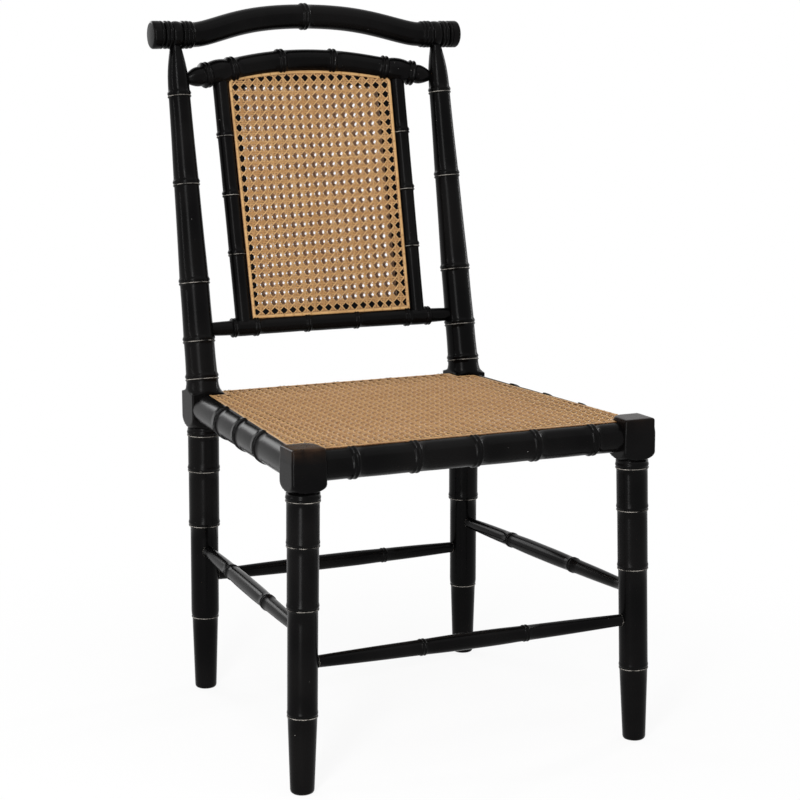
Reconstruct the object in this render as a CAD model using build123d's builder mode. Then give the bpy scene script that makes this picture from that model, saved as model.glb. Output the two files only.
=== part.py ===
from build123d import *
import os
from math import cos, radians, sin, sqrt, tan
from typing import NamedTuple

# Side chair with a frame turned to look like bamboo, a caned seat and a double caned back.
# Millimetres, +Z up, the sitter faces -Y, and the origin is on the floor under the middle of the chair.

# Driving sizes of the whole chair
front_leg_spacing = 496.0
rear_leg_spacing = 440.0
seat_run = 475.0
rail_height = 442.0
knee_rise = 28.0
crest_height = 997.0
post_rake_angle = 11.25
post_draw_in = 2.0
front_splay_out = 8.7
front_splay_forward = 5.8
rear_splay_out = 2.3
rear_splay_back = 6.0

# Fits that the joints share
glue_gap = 0.1
seat_gap = 0.4
overrun = 60.0

# Square blocks on the legs and posts, measured from the height of the rails
front_block = 46.8
front_block_drop = 23.0
front_block_rise = 27.5
front_corner_round = 20.0
front_edge_round = 3.6
front_side_round = 4.0
rear_block = 51.0
rear_block_drop = 21.0
rear_block_rise = 20.0
shoulder_height = 9.0
shoulder_lip = 1.2
lathe_clear = 2.0

# Half lengths of the bamboo nodes, on the thick sticks and on the thin ones
node_half = 5.0
small_node_half = 3.6

# Front legs, from the floor up
front_leg_radius = 23.2
front_node_shares = (0.240, 0.572, 0.763, 0.902)
front_ring_shares = (0.909, 0.940, 0.961, 1.0)
front_foot_radius = 15.0
foot_edge = 3.0
leg_node_rise = 2.3

# Rear posts below the block, from the floor up
rear_leg_radius = 24.5
rear_node_shares = (0.261, 0.587, 0.778, 0.905)
rear_ring_shares = (0.836, 0.959, 0.984, 1.0)
rear_foot_radius = 15.5

# Rear posts above the block, from the knee up
post_radius = 25.2
post_node_shares = (0.026, 0.1376, 0.3017, 0.580, 0.830)
post_ring_shares = (1.0, 0.952, 0.913, 0.790, 0.683)
post_node_rise = 1.6
post_root = 6.0
neck_radius = 9.2
neck_share = 0.958
post_tenon_past_axis = 4.0

# Seat rails
rail_radius = 20.7
side_rail_radius = 23.2
rail_node_rise = 2.0
cross_rail_nodes = 5
cross_rail_pitch = 90.0
side_rail_nodes = 3
side_rail_pitch = 94.0
rail_tenon_clear = 0.5
rail_tenon_length = 14.0
rail_tenon_width = 11.0
rail_tenon_drop = 12.0

# Stretchers
side_stretcher_height = 220.5
cross_stretcher_height = 177.5
stretcher_radius = 9.2
stretcher_node_rise = 1.6
side_stretcher_node = 88.0
cross_stretcher_node = 79.0
stretcher_housing = 14.0

# Crest rail, its turned ends measured in from the end face
crest_half_length = 256.0
crest_end_radius = 21.2
crest_groove_depth = 2.4
crest_edge = 3.0
crest_groove_half = 2.4
crest_bead_lengths = (16.6, 13.2, 16.2, 20.1)
crest_tube_radius = 18.8
crest_rise = 34.9
crest_lean_angle = 37.5
crest_return_radius = 90.0
crest_ring_rise = 2.3

# Bottom rail of the back frame, measured out from its middle
back_bottom_rise = 87.0
back_rail_radius = 11.8
back_rail_mid_radius = 12.3
back_rail_end_radius = 10.4
back_rail_barrel_radius = 12.8
back_rail_node_rise = 1.5
back_rail_mid_node = 41.5
back_rail_inner_node = 127.0
back_rail_outer_node = 163.0
back_rail_housing = 12.0

# Arched top rail of the back frame, which leans back more than the posts do
back_top_drop = 39.6
arch_straight_run = 43.0
arch_end_angle = 13.8
arch_lean_angle = 44.0
arch_tube_radius = 16.8
arch_node_rise = 2.6
arch_mid_node = 43.4
arch_collar_radius = 19.6
arch_barrel_radius = 18.7
arch_inner_collar_in = 20.5
arch_outer_collar_out = 24.0
arch_collar_half = 6.6
acorn_radius = 15.0
acorn_waist_radius = 13.8
acorn_neck_radius = 9.0
acorn_neck_length = 2.5
acorn_crown_share = 0.35
acorn_taper_share = 0.75
acorn_housing = 8.0

# Stiles of the back frame
stile_from_post = 71.5
stile_draw_in = 2.5
stile_radius = 11.4
stile_node_rise = 1.8
stile_node_shares = (0.289, 0.520, 0.752)
stile_tenon_width = 10.0
stile_tenon_thickness = 6.0
stile_tenon_length = 7.0

# Cane, its binding and the flat boards that carry it
cane_thickness = 1.6
binding_thickness = 1.2
binding_width = 5.5
seat_board_thickness = 13.0
seat_board_width = 46.0
seat_set_down = 0.8
seat_net_pitch = 40.0
seat_net_bar = 14.0
panel_board_thickness = 9.0
panel_board_width = 17.0
panel_bottom_lap = 11.4
panel_top_lap = 15.2
panel_set_back = 6.0
back_net_pitch = 36.0
back_net_bar = 13.0

# Corner braces under the seat
brace_reach = 98.0
brace_thickness = 16.0

# Places worked out from the driving sizes
knee_height = rail_height + knee_rise
back_bottom_height = knee_height + back_bottom_rise
back_top_height = crest_height - back_top_drop
front_x = front_leg_spacing / 2
rear_x = rear_leg_spacing / 2
rake_rise = crest_height - knee_height
rake_run = rake_rise * tan(radians(post_rake_angle))
front_reach = front_splay_forward * (1 - front_node_shares[0]) + front_leg_radius * front_ring_shares[0]
crest_reach = crest_rise * sin(radians(crest_lean_angle)) + crest_tube_radius + crest_ring_rise
overall_depth = front_reach + seat_run + rake_run + crest_reach
front_y = -overall_depth / 2 + front_reach
rear_y = front_y + seat_run
crest_y = rear_y + rake_run
seat_board_top = rail_height + rail_radius - seat_set_down
seat_board_bottom = seat_board_top - seat_board_thickness
sides = ((-1, "left"), (1, "right"))


# Points and lines of the frame
def front_head(side):
    """Middle of a front block, at the height of the rails."""
    return (side * front_x, front_y, rail_height)


def front_foot(side):
    """Middle of a front foot, on the floor."""
    return (side * (front_x + front_splay_out), front_y - front_splay_forward, 0)


def rear_head(side):
    """Middle of a rear block, at the height of the rails."""
    return (side * rear_x, rear_y, rail_height)


def rear_foot(side):
    """Middle of a rear foot, on the floor."""
    return (side * (rear_x + rear_splay_out), rear_y + rear_splay_back, 0)


def knee(side):
    """Point where the axis of a rear post turns back."""
    return (side * rear_x, rear_y, knee_height)


def post_top(side):
    """Point where the axis of a rear post meets the axis of the crest rail."""
    return (side * (rear_x - post_draw_in), crest_y, crest_height)


def between(base, tip, share):
    """Point at a share of the way from base to tip."""
    return tuple(low + (high - low) * share for low, high in zip(base, tip))


def distance(base, tip):
    """Length of the line from base to tip."""
    return (Vector(*tip) - Vector(*base)).length


back_plane = Plane(
    origin=(0, rear_y, knee_height),
    x_dir=(1, 0, 0),
    z_dir=(0, -cos(radians(post_rake_angle)), sin(radians(post_rake_angle))),
)


def back_point(across, up):
    """Point of the back's plane, given across from its middle and up from the knees."""
    return tuple(back_plane.from_local_coords(Vector(across, up, 0)))


def up_the_back(height):
    """Distance up the back's plane to a height above the floor."""
    return (height - knee_height) / cos(radians(post_rake_angle))


# Turned work
def turning_plane(base, tip):
    """Plane whose Y axis runs from base to tip, so that outlines are drawn as (radius, place)."""
    along = (Vector(*tip) - Vector(*base)).normalized()
    across = Vector(0, 1, 0).cross(along).normalized()
    return Plane(origin=base, x_dir=across, z_dir=across.cross(along))


def turned(base, tip, outline):
    """Solid turned about the line from base to tip, its outline given as (radius, place) points."""
    plane = turning_plane(base, tip)
    start, end = outline[0][1], outline[-1][1]
    with BuildPart() as work:
        with BuildSketch(plane):
            with BuildLine():
                Polyline((0, start), *outline, (0, end), close=True)
            make_face()
        revolve(axis=Axis(plane.origin, plane.y_dir))
    return work.part


def dowel(base, tip, radius, start, end):
    """Plain round stick, or the hole for it, about the line from base to tip."""
    return turned(base, tip, [(radius, start), (radius, end)])


def node(place, ring, below, above, half=node_half):
    """Outline of one bamboo node, whose ridge stands between two plain stretches."""
    return [(below, place - half), (ring, place), (above, place + half)]


def ridge_on_bend(tube, rise):
    """Outline of a node's ridge on a bent tube, both of its slopes running on into the tube."""
    return node(0, tube + rise, tube - rise, tube - rise, 2 * node_half)


def both_ways(half):
    """Outline that is alike on both sides of place zero, from its half."""
    return [(radius, -place) for radius, place in reversed(half)] + half


# Legs and posts
class Leg(NamedTuple):
    """Turned leg below its block."""

    foot: tuple
    head: tuple
    radius: float
    node_shares: tuple
    ring_shares: tuple
    foot_radius: float


def front_leg(side):
    """Turned leg below a front block."""
    ends = (front_foot(side), front_head(side))
    return Leg(*ends, front_leg_radius, front_node_shares, front_ring_shares, front_foot_radius)


def rear_leg(side):
    """Turned leg below a rear block."""
    ends = (rear_foot(side), rear_head(side))
    return Leg(*ends, rear_leg_radius, rear_node_shares, rear_ring_shares, rear_foot_radius)


def stepped(places, rings, rise, first):
    """Outline of nodes with plain stretches between them, each as thick as the nodes beside it ask."""
    plains = [first] + [(low + high) / 2 - rise for low, high in zip(rings, rings[1:])] + [rings[-1] - rise]
    outline = []
    for place, ring, below, above in zip(places, rings, plains, plains[1:]):
        outline += node(place, ring, below, above)
    return outline


def leg_rings(leg):
    """Radii of a leg's nodes."""
    return [leg.radius * share for share in leg.ring_shares]


def leg_turning(leg):
    """Turned leg, cut flat where it stands on the floor."""
    length, rings = distance(leg.foot, leg.head), leg_rings(leg)
    inner_foot = leg.foot_radius - foot_edge
    outline = [(inner_foot, -foot_edge), (inner_foot, 0), (leg.foot_radius, foot_edge)]
    places = [length * share for share in leg.node_shares]
    outline += stepped(places, rings, leg_node_rise, rings[0] - leg_node_rise)
    outline.append((leg.radius - leg_node_rise, length))
    with BuildPart() as stick:
        add(turned(leg.foot, leg.head, outline))
        split(bisect_by=Plane.XY, keep=Keep.TOP)
    return stick.part


def stretch_radius(share, places, rings, rise):
    """Radius of the plain stretch that a share of a stick's length falls in."""
    radius = rings[-1] - rise
    for low, high, ring, next_ring in zip(places, places[1:], rings, rings[1:]):
        if low <= share <= high:
            radius = (ring + next_ring) / 2 - rise
    return radius


def leg_radius_at(leg, height):
    """Radius of a leg at a height."""
    share = height / rail_height
    if share < leg.node_shares[0]:
        return leg_rings(leg)[0] - leg_node_rise
    return stretch_radius(share, leg.node_shares, leg_rings(leg), leg_node_rise)


def post_rings():
    """Radii of a post's nodes above its block."""
    return [post_radius * share for share in post_ring_shares]


def post_radius_at(height):
    """Radius of a post above its block at a height."""
    share = (height - knee_height) / rake_rise
    last, plain = post_node_shares[-1], post_rings()[-1] - post_node_rise
    if share > last:
        return plain - (plain - neck_radius) * (share - last) / (neck_share - last)
    return stretch_radius(share, post_node_shares, post_rings(), post_node_rise)


def head_face(side, grow, inner_round=front_corner_round):
    """Square of a front head with rounded corners, the inner back one most, grown on every side."""
    with BuildSketch() as face:
        Rectangle(front_block + 2 * grow, front_block + 2 * grow)
        *others, inner = face.vertices().sort_by(Axis((0, 0, 0), (-side, 1, 0)))
        fillet(inner, radius=inner_round + grow)
        fillet(others, radius=front_side_round + grow)
    return face.sketch


def front_block_solid(side):
    """Block of a front leg, turned to a shoulder below and rounded where the seat meets it."""
    low, top = rail_height - front_block_drop, rail_height + front_block_rise
    corner = front_block / sqrt(2) + lathe_clear
    centre = (side * front_x, front_y, 0)
    neck = front_leg_radius - leg_node_rise + shoulder_lip
    envelope = [(neck, low - shoulder_height), (corner, low), (corner, top)]
    with BuildPart() as block:
        with BuildSketch(Plane(centre).offset(low - shoulder_height)):
            add(head_face(side, 0, front_side_round))
        extrude(amount=seat_board_bottom - low + shoulder_height)
        with BuildSketch(Plane(centre).offset(seat_board_bottom)):
            add(head_face(side, 0))
        extrude(amount=top - seat_board_bottom)
        fillet(block.edges().group_by(Axis.Z)[-1], radius=front_edge_round)
        add(turned(centre, front_head(side), envelope), mode=Mode.INTERSECT)
    return block.part


def rear_block_solid(side):
    """Block of a rear post, turned to a shoulder at both ends."""
    low, top = rail_height - rear_block_drop, rail_height + rear_block_rise
    corner = rear_block / sqrt(2) + lathe_clear
    centre = (side * rear_x, rear_y, 0)
    neck = rear_leg_radius - leg_node_rise + shoulder_lip
    post_neck = post_radius - post_node_rise + shoulder_lip
    envelope = [(neck, low - shoulder_height), (corner, low)]
    envelope += [(corner, top), (post_neck, top + shoulder_height)]
    with BuildPart() as block:
        with BuildSketch(Plane(centre).offset(low - shoulder_height)):
            Rectangle(rear_block, rear_block)
        extrude(amount=top - low + 2 * shoulder_height)
        add(turned(centre, rear_head(side), envelope), mode=Mode.INTERSECT)
    return block.part


def post_turning(side):
    """Raked upper turning of a rear post, from inside its block to the end of its tenon."""
    base, tip = knee(side), post_top(side)
    length = distance(base, tip)
    first, places = post_radius - post_node_rise, [length * share for share in post_node_shares]
    outline = [(first, -post_root)] + stepped(places, post_rings(), post_node_rise, first)
    outline += [(neck_radius, length * neck_share), (neck_radius, length + post_tenon_past_axis)]
    return turned(base, tip, outline)


# Seat rails
class Rail(NamedTuple):
    """Turned seat rail between two blocks."""

    start: tuple
    end: tuple
    start_block: float
    end_block: float
    radius: float
    node_count: int
    node_pitch: float


def cross_rail(head, block):
    """Seat rail from the left to the right."""
    return Rail(head(-1), head(1), block, block, rail_radius, cross_rail_nodes, cross_rail_pitch)


def side_rail(side):
    """Seat rail from the front to the back."""
    ends = (front_head(side), rear_head(side), front_block, rear_block)
    return Rail(*ends, side_rail_radius, side_rail_nodes, side_rail_pitch)


RAILS = {
    "seat_rail_front": cross_rail(front_head, front_block),
    "seat_rail_rear": cross_rail(rear_head, rear_block),
    "seat_rail_left": side_rail(-1),
    "seat_rail_right": side_rail(1),
}


def rail_turning(rail, grow):
    """Seat rail turned from the middle of one block to the middle of the other, grown all over."""
    middle, length = between(rail.start, rail.end, 0.5), distance(rail.start, rail.end)
    plain = rail.radius + grow
    outline = [(plain, -length / 2)]
    for number in range(rail.node_count):
        place = (number - (rail.node_count - 1) / 2) * rail.node_pitch
        outline += node(place, plain + rail_node_rise, plain, plain)
    outline.append((plain, length / 2))
    return turned(middle, rail.end, outline)


def rail_square(rail):
    """Direction square to the blocks that a rail runs between."""
    run = Vector(*rail.end) - Vector(*rail.start)
    return Vector(1, 0, 0) if abs(run.X) > abs(run.Y) else Vector(0, 1, 0)


def rail_tenons(rail, grow):
    """Square-cut tenons at both ends of a seat rail, or the mortises for them."""
    top = seat_board_bottom - rail_tenon_clear + grow
    bottom = rail_height - rail_tenon_drop - grow
    along = rail_square(rail)
    tenons = []
    for point, inward, block in ((rail.start, along, rail.start_block), (rail.end, -along, rail.end_block)):
        face = Vector(point[0], point[1], (top + bottom) / 2) + inward * block / 2
        with BuildPart() as tenon:
            with BuildSketch(Plane(origin=face, x_dir=(0, 0, 1), z_dir=-inward)):
                Rectangle(top - bottom, rail_tenon_width + 2 * grow)
            extrude(amount=rail_tenon_length + grow)
        tenons.append(tenon.part)
    return tenons


def seat_corners():
    """Corners of the seat, where the axes of its rails cross."""
    return [front_head(-1)[:2], front_head(1)[:2], rear_head(1)[:2], rear_head(-1)[:2]]


def seat_field(inset):
    """Four-sided field of the seat, drawn in from the axes of its rails."""
    with BuildSketch() as face:
        with BuildLine():
            Polyline(*seat_corners(), close=True)
        make_face()
        if inset > 0:
            offset(amount=-inset, kind=Kind.INTERSECTION)
    return face.sketch


def seat_face(inset):
    """Field of the seat with its corners notched round the four blocks."""
    with BuildSketch() as face:
        add(seat_field(inset))
        for side, _ in sides:
            with Locations((side * front_x, front_y)):
                add(head_face(side, inset), mode=Mode.SUBTRACT)
            with Locations((side * rear_x, rear_y)):
                Rectangle(rear_block + 2 * inset, rear_block + 2 * inset, mode=Mode.SUBTRACT)
    return face.sketch


with BuildPart() as seat_rabbet:
    with BuildSketch(Plane.XY.offset(seat_board_bottom)):
        add(seat_field(0))
    extrude(amount=overrun)


def seat_rail(name):
    """Seat rail cut square to its blocks, rabbeted for the seat and tenoned."""
    rail, along = RAILS[name], rail_square(RAILS[name])
    start_face = Plane(origin=Vector(*rail.start) + along * rail.start_block / 2, z_dir=along)
    end_face = Plane(origin=Vector(*rail.end) - along * rail.end_block / 2, z_dir=along)
    with BuildPart() as stick:
        add(rail_turning(rail, 0))
        split(bisect_by=start_face, keep=Keep.TOP)
        split(bisect_by=end_face, keep=Keep.BOTTOM)
        add(seat_rabbet.part, mode=Mode.SUBTRACT)
        for tenon in rail_tenons(rail, 0):
            add(tenon)
    stick.part.label = name
    return stick.part


# Stretchers
def leg_line(kind, side, height):
    """Leg and the point on its axis at a height."""
    leg = front_leg(side) if kind == "front" else rear_leg(side)
    return leg, between(leg.foot, leg.head, height / rail_height)


STRETCHERS = {
    "stretcher_front": (
        leg_line("front", -1, cross_stretcher_height),
        leg_line("front", 1, cross_stretcher_height),
        cross_stretcher_node,
    ),
    "stretcher_rear": (
        leg_line("rear", -1, cross_stretcher_height),
        leg_line("rear", 1, cross_stretcher_height),
        cross_stretcher_node,
    ),
    "stretcher_left": (
        leg_line("front", -1, side_stretcher_height),
        leg_line("rear", -1, side_stretcher_height),
        side_stretcher_node,
    ),
    "stretcher_right": (
        leg_line("front", 1, side_stretcher_height),
        leg_line("rear", 1, side_stretcher_height),
        side_stretcher_node,
    ),
}


def stretcher_seat(leg, point):
    """Distance from a leg's axis to the bottom of a stretcher's housing."""
    return leg_radius_at(leg, point[2]) - stretcher_housing


def stretcher(name):
    """Turned stretcher whose plain ends are housed in two legs."""
    (start_leg, start), (end_leg, end), place = STRETCHERS[name]
    middle, half = between(start, end, 0.5), distance(start, end) / 2
    ring, plain = stretcher_radius + stretcher_node_rise, stretcher_radius
    outline = [(plain, stretcher_seat(start_leg, start) - half)]
    outline += node(-place, ring, plain, plain, small_node_half)
    outline += node(place, ring, plain, plain, small_node_half)
    outline.append((stretcher_radius, half - stretcher_seat(end_leg, end)))
    with BuildPart() as stick:
        add(turned(middle, end, outline))
    stick.part.label = name
    return stick.part


def stretcher_housings(leg):
    """Holes that a leg needs for its stretchers."""
    holes = []
    for start_end, end_end, _ in STRETCHERS.values():
        for (owner, point), (_, far) in ((start_end, end_end), (end_end, start_end)):
            if owner.foot == leg.foot:
                seat = stretcher_seat(leg, point) - glue_gap
                holes.append(dowel(point, far, stretcher_radius + glue_gap, seat, overrun))
    return holes


def rail_mortises(head):
    """Mortises that a block needs for the tenons of its seat rails."""
    mortises = []
    for rail in RAILS.values():
        if head in (rail.start, rail.end):
            start_mortise, end_mortise = rail_tenons(rail, glue_gap)
            mortises.append(start_mortise if head == rail.start else end_mortise)
    return mortises


# Inner back frame
bottom_up = up_the_back(back_bottom_height)
back_height = up_the_back(crest_height)
stile_across = rear_x - stile_from_post
arch_half_angle = radians(arch_end_angle)
arch_end_across = stile_across - arch_straight_run
arch_radius = arch_end_across / sin(arch_half_angle)
arch_bend_drop = arch_radius * (1 - cos(arch_half_angle))


def post_across(up):
    """Distance of a post's axis from the middle of the chair, up the plane of the back."""
    return rear_x - post_draw_in * up / back_height


def arch_drop(across):
    """How far the arched rail's axis falls, in its own plane, at a distance from the middle."""
    if across <= arch_end_across:
        return arch_radius - sqrt(arch_radius**2 - across**2)
    return arch_bend_drop + (across - arch_end_across) * tan(arch_half_angle)


def arch_place(across):
    """Place along the arched rail's straight end, counted from the end of its arc."""
    return (across - arch_end_across) / cos(arch_half_angle)


# The ends of the arched rail lie on the axes of the posts, and its middle leans back from there.
arch_post_across = post_across(up_the_back(back_top_height))
arch_post_height = back_top_height - arch_drop(arch_post_across) * cos(radians(arch_lean_angle))
arch_post_y = rear_y + (arch_post_height - knee_height) * tan(radians(post_rake_angle))
arch_y = arch_post_y + arch_drop(arch_post_across) * sin(radians(arch_lean_angle))
acorn_tip = arch_place(arch_post_across) - post_radius_at(arch_post_height) / cos(arch_half_angle)
arch_plane = Plane(
    origin=(0, arch_y, back_top_height),
    x_dir=(1, 0, 0),
    z_dir=(0, -cos(radians(arch_lean_angle)), sin(radians(arch_lean_angle))),
)


def arch_point(across):
    """Point on the axis of the arched rail, its distance from the middle counted to the right."""
    return tuple(arch_plane.from_local_coords(Vector(across, -arch_drop(abs(across)), 0)))


def arch_end_line(side):
    """Line of the arched rail's straight end, from the end of its arc outwards."""
    return arch_point(side * arch_end_across), arch_point(side * arch_post_across)


def arch_end(side):
    """Turned end of the arched rail: two collars, a barrel and an acorn housed in the post."""
    inner = arch_place(stile_across - arch_inner_collar_in)
    outer = arch_place(stile_across + arch_outer_collar_out)
    acorn_start = outer + arch_collar_half
    acorn_run = acorn_tip - acorn_neck_length - acorn_start
    outline = [(arch_tube_radius, 0)]
    outline += node(inner, arch_collar_radius, arch_tube_radius, arch_barrel_radius, arch_collar_half)
    outline += node(outer, arch_collar_radius, arch_barrel_radius, acorn_waist_radius, arch_collar_half)
    outline += [
        (acorn_radius, acorn_start + acorn_run * acorn_crown_share),
        ((acorn_radius + acorn_neck_radius) / 2, acorn_start + acorn_run * acorn_taper_share),
        (acorn_neck_radius, acorn_tip - acorn_neck_length),
        (acorn_neck_radius, acorn_tip + acorn_housing),
    ]
    return turned(*arch_end_line(side), outline)


def arch_node(side):
    """Bamboo node on the arc of the arched rail."""
    angle = arch_mid_node / arch_radius
    base = arch_point(side * arch_radius * sin(angle))
    run = arch_plane.from_local_coords(Vector(side * cos(angle), -sin(angle), 0)) - arch_plane.origin
    return turned(base, tuple(Vector(*base) + run), ridge_on_bend(arch_tube_radius, arch_node_rise))


def stile_line(side):
    """Axis of a stile, from the axis of the bottom rail to the axis of the arched rail."""
    return back_point(side * (stile_across - stile_draw_in), bottom_up), arch_point(side * stile_across)


def stile_tenons(side, grow):
    """Flat tenons at both ends of a stile, or the mortises for them."""
    tenons = []
    base, tip = stile_line(side)
    for start, end, barrel in ((base, tip, back_rail_barrel_radius), (tip, base, arch_barrel_radius)):
        inward = (Vector(*end) - Vector(*start)).normalized()
        seat = Vector(*start) + inward * (barrel - stile_tenon_length - grow)
        with BuildPart() as tenon:
            with BuildSketch(Plane(origin=seat, x_dir=(1, 0, 0), z_dir=inward)):
                Rectangle(stile_tenon_width + 2 * grow, stile_tenon_thickness + 2 * grow)
            extrude(amount=stile_tenon_length + stile_radius)
        tenons.append(tenon.part)
    return tenons


# The panel lies flat, from the axis of the bottom rail to a little behind the tops of the stiles.
panel_half_width = stile_across - stile_radius
panel_base = Vector(*back_point(0, bottom_up))
stile_head = Vector(*arch_point(stile_across))
panel_run = Vector(0, stile_head.Y + panel_set_back - panel_base.Y, stile_head.Z - panel_base.Z)
panel_plane = Plane(
    origin=panel_base,
    x_dir=(1, 0, 0),
    z_dir=Vector(1, 0, 0).cross(panel_run).normalized(),
)
panel_low = panel_bottom_lap
panel_high = (back_top_height - back_bottom_height) / panel_plane.y_dir.Z - panel_top_lap
panel_arc_radius = arch_radius / cos(radians(arch_lean_angle)) - panel_top_lap


def panel_face(inset):
    """Outline of the caned panel, arched at the top, drawn in on every side."""
    half, low, high = panel_half_width - inset, panel_low + inset, panel_high - inset
    radius = panel_arc_radius - inset
    corner = high - radius + sqrt(radius**2 - half**2)
    with BuildSketch() as face:
        with BuildLine():
            Polyline((-half, corner), (-half, low), (half, low), (half, corner))
            ThreePointArc((half, corner), (0, high), (-half, corner))
        make_face()
    return face.sketch


def panel_layer(inset, start, thickness):
    """Layer of the caned panel, lying between two distances in front of the panel's plane."""
    with BuildPart() as layer:
        with BuildSketch(panel_plane.offset(start)):
            add(panel_face(inset))
        extrude(amount=thickness)
    return layer.part


panel_reach = panel_board_thickness / 2 + cane_thickness + binding_thickness
panel_seat = panel_layer(-glue_gap, -panel_reach - glue_gap, 2 * (panel_reach + glue_gap))

with BuildPart() as back_top_rail:
    with BuildLine(arch_plane) as arch_path:
        CenterArc((0, -arch_radius), arch_radius, 90 - arch_end_angle, 2 * arch_end_angle)
    with BuildSketch(Plane(origin=arch_path.line @ 0, z_dir=arch_path.line % 0)):
        Circle(arch_tube_radius)
    sweep(path=arch_path.line)
    for side, _ in sides:
        add(arch_end(side))
        add(arch_node(side))
        add(stile_tenons(side, glue_gap)[1], mode=Mode.SUBTRACT)
    add(panel_seat, mode=Mode.SUBTRACT)
back_top_rail.part.label = "back_top_rail"
export_parts = [back_top_rail.part]


def bottom_rail_seat():
    """Distance from the middle to the bottom of the bottom rail's housing."""
    return post_across(bottom_up) - post_radius_at(back_bottom_height) + back_rail_housing


with BuildPart() as back_bottom_rail:
    plain, barrel, end = back_rail_radius, back_rail_barrel_radius, back_rail_end_radius
    mid_ring, end_ring = back_rail_mid_radius + back_rail_node_rise, barrel + back_rail_node_rise
    half_outline = node(back_rail_mid_node, mid_ring, back_rail_mid_radius, plain, small_node_half)
    half_outline += node(back_rail_inner_node, end_ring, plain, barrel, small_node_half)
    half_outline += node(back_rail_outer_node, end_ring, barrel, end, small_node_half)
    half_outline.append((end, bottom_rail_seat()))
    add(turned(back_point(0, bottom_up), back_point(rear_x, bottom_up), both_ways(half_outline)))
    for side, _ in sides:
        add(stile_tenons(side, glue_gap)[0], mode=Mode.SUBTRACT)
    add(panel_seat, mode=Mode.SUBTRACT)
back_bottom_rail.part.label = "back_bottom_rail"
export_parts.append(back_bottom_rail.part)

for side, side_name in sides:
    with BuildPart() as stile:
        stile_base, stile_tip = stile_line(side)
        stile_length = distance(stile_base, stile_tip)
        stile_outline = [(stile_radius, 0)]
        for node_share in stile_node_shares:
            place, ring = stile_length * node_share, stile_radius + stile_node_rise
            stile_outline += node(place, ring, stile_radius, stile_radius, small_node_half)
        stile_outline.append((stile_radius, stile_length))
        add(turned(stile_base, stile_tip, stile_outline))
        barrel = back_rail_barrel_radius + glue_gap
        low_end = back_point(side * (rear_x + overrun), bottom_up)
        add(dowel(stile_base, low_end, barrel, -overrun / 2, overrun / 2), mode=Mode.SUBTRACT)
        barrel = arch_barrel_radius + glue_gap
        add(dowel(stile_tip, arch_end_line(side)[1], barrel, -overrun / 2, overrun / 2), mode=Mode.SUBTRACT)
        add(panel_seat, mode=Mode.SUBTRACT)
        for tenon in stile_tenons(side, 0):
            add(tenon)
    stile.part.label = f"back_stile_{side_name}"
    export_parts.append(stile.part)

# Boards of the back panel
board_low = panel_low + panel_board_width
panel_corner_up = panel_high - panel_arc_radius + sqrt(panel_arc_radius**2 - panel_half_width**2)
board_high = panel_corner_up - panel_board_width
with BuildPart() as panel_ring:
    with BuildSketch(panel_plane.offset(-panel_board_thickness / 2)):
        add(panel_face(0))
        add(panel_face(panel_board_width), mode=Mode.SUBTRACT)
    extrude(amount=panel_board_thickness)

up_dir = panel_plane.y_dir
low_cut = Plane(origin=panel_base + up_dir * board_low, z_dir=up_dir)
high_cut = Plane(origin=panel_base + up_dir * board_high, z_dir=up_dir)
with BuildPart() as panel_board_bottom:
    add(panel_ring.part)
    split(bisect_by=low_cut, keep=Keep.BOTTOM)
panel_board_bottom.part.label = "panel_board_bottom"
with BuildPart() as panel_board_top:
    add(panel_ring.part)
    split(bisect_by=high_cut, keep=Keep.TOP)
panel_board_top.part.label = "panel_board_top"
export_parts += [panel_board_bottom.part, panel_board_top.part]
for side, side_name in sides:
    with BuildPart() as panel_board:
        add(panel_ring.part)
        split(bisect_by=low_cut, keep=Keep.TOP)
        split(bisect_by=high_cut, keep=Keep.BOTTOM)
        split(bisect_by=Plane.YZ, keep=Keep.TOP if side > 0 else Keep.BOTTOM)
    panel_board.part.label = f"panel_board_{side_name}"
    export_parts.append(panel_board.part)


# Caned nets, each one sheet with square gaps
def net_places(low, high, pitch):
    """Evenly spaced middles of gaps that fill a span."""
    count = int((high - low) / pitch)
    return [(low + high) / 2 + (number - (count - 1) / 2) * pitch for number in range(count)]


def back_net_gaps():
    """Middles of the gaps in a back net."""
    border = binding_width + back_net_bar / 2
    radius, half = panel_arc_radius - border, panel_half_width - border
    gaps = []
    for across in net_places(-half, half, back_net_pitch):
        high = panel_high - panel_arc_radius + sqrt(radius**2 - (abs(across) + back_net_pitch / 2) ** 2)
        gaps += [(across, up) for up in net_places(panel_low + border, high, back_net_pitch)]
    return gaps


cane_starts = {"front": panel_board_thickness / 2, "rear": -panel_board_thickness / 2 - cane_thickness}
for layer_name, lower in cane_starts.items():
    with BuildPart() as back_cane:
        with BuildSketch(panel_plane.offset(lower)):
            add(panel_face(0))
            with Locations(*back_net_gaps()):
                Rectangle(back_net_pitch - back_net_bar, back_net_pitch - back_net_bar, mode=Mode.SUBTRACT)
        extrude(amount=cane_thickness)
    back_cane.part.label = f"back_cane_{layer_name}"
    export_parts.append(back_cane.part)
    face_side = panel_board_thickness / 2 + cane_thickness
    binding_low = face_side if layer_name == "front" else -face_side - binding_thickness
    with BuildPart() as back_binding:
        with BuildSketch(panel_plane.offset(binding_low)):
            add(panel_face(0))
            add(panel_face(binding_width), mode=Mode.SUBTRACT)
        extrude(amount=binding_thickness)
    back_binding.part.label = f"back_binding_{layer_name}"
    export_parts.append(back_binding.part)


def seat_half_width(y):
    """Half width of the seat's field at a place from front to back."""
    return front_x + (rear_x - front_x) * (y - front_y) / seat_run


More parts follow.
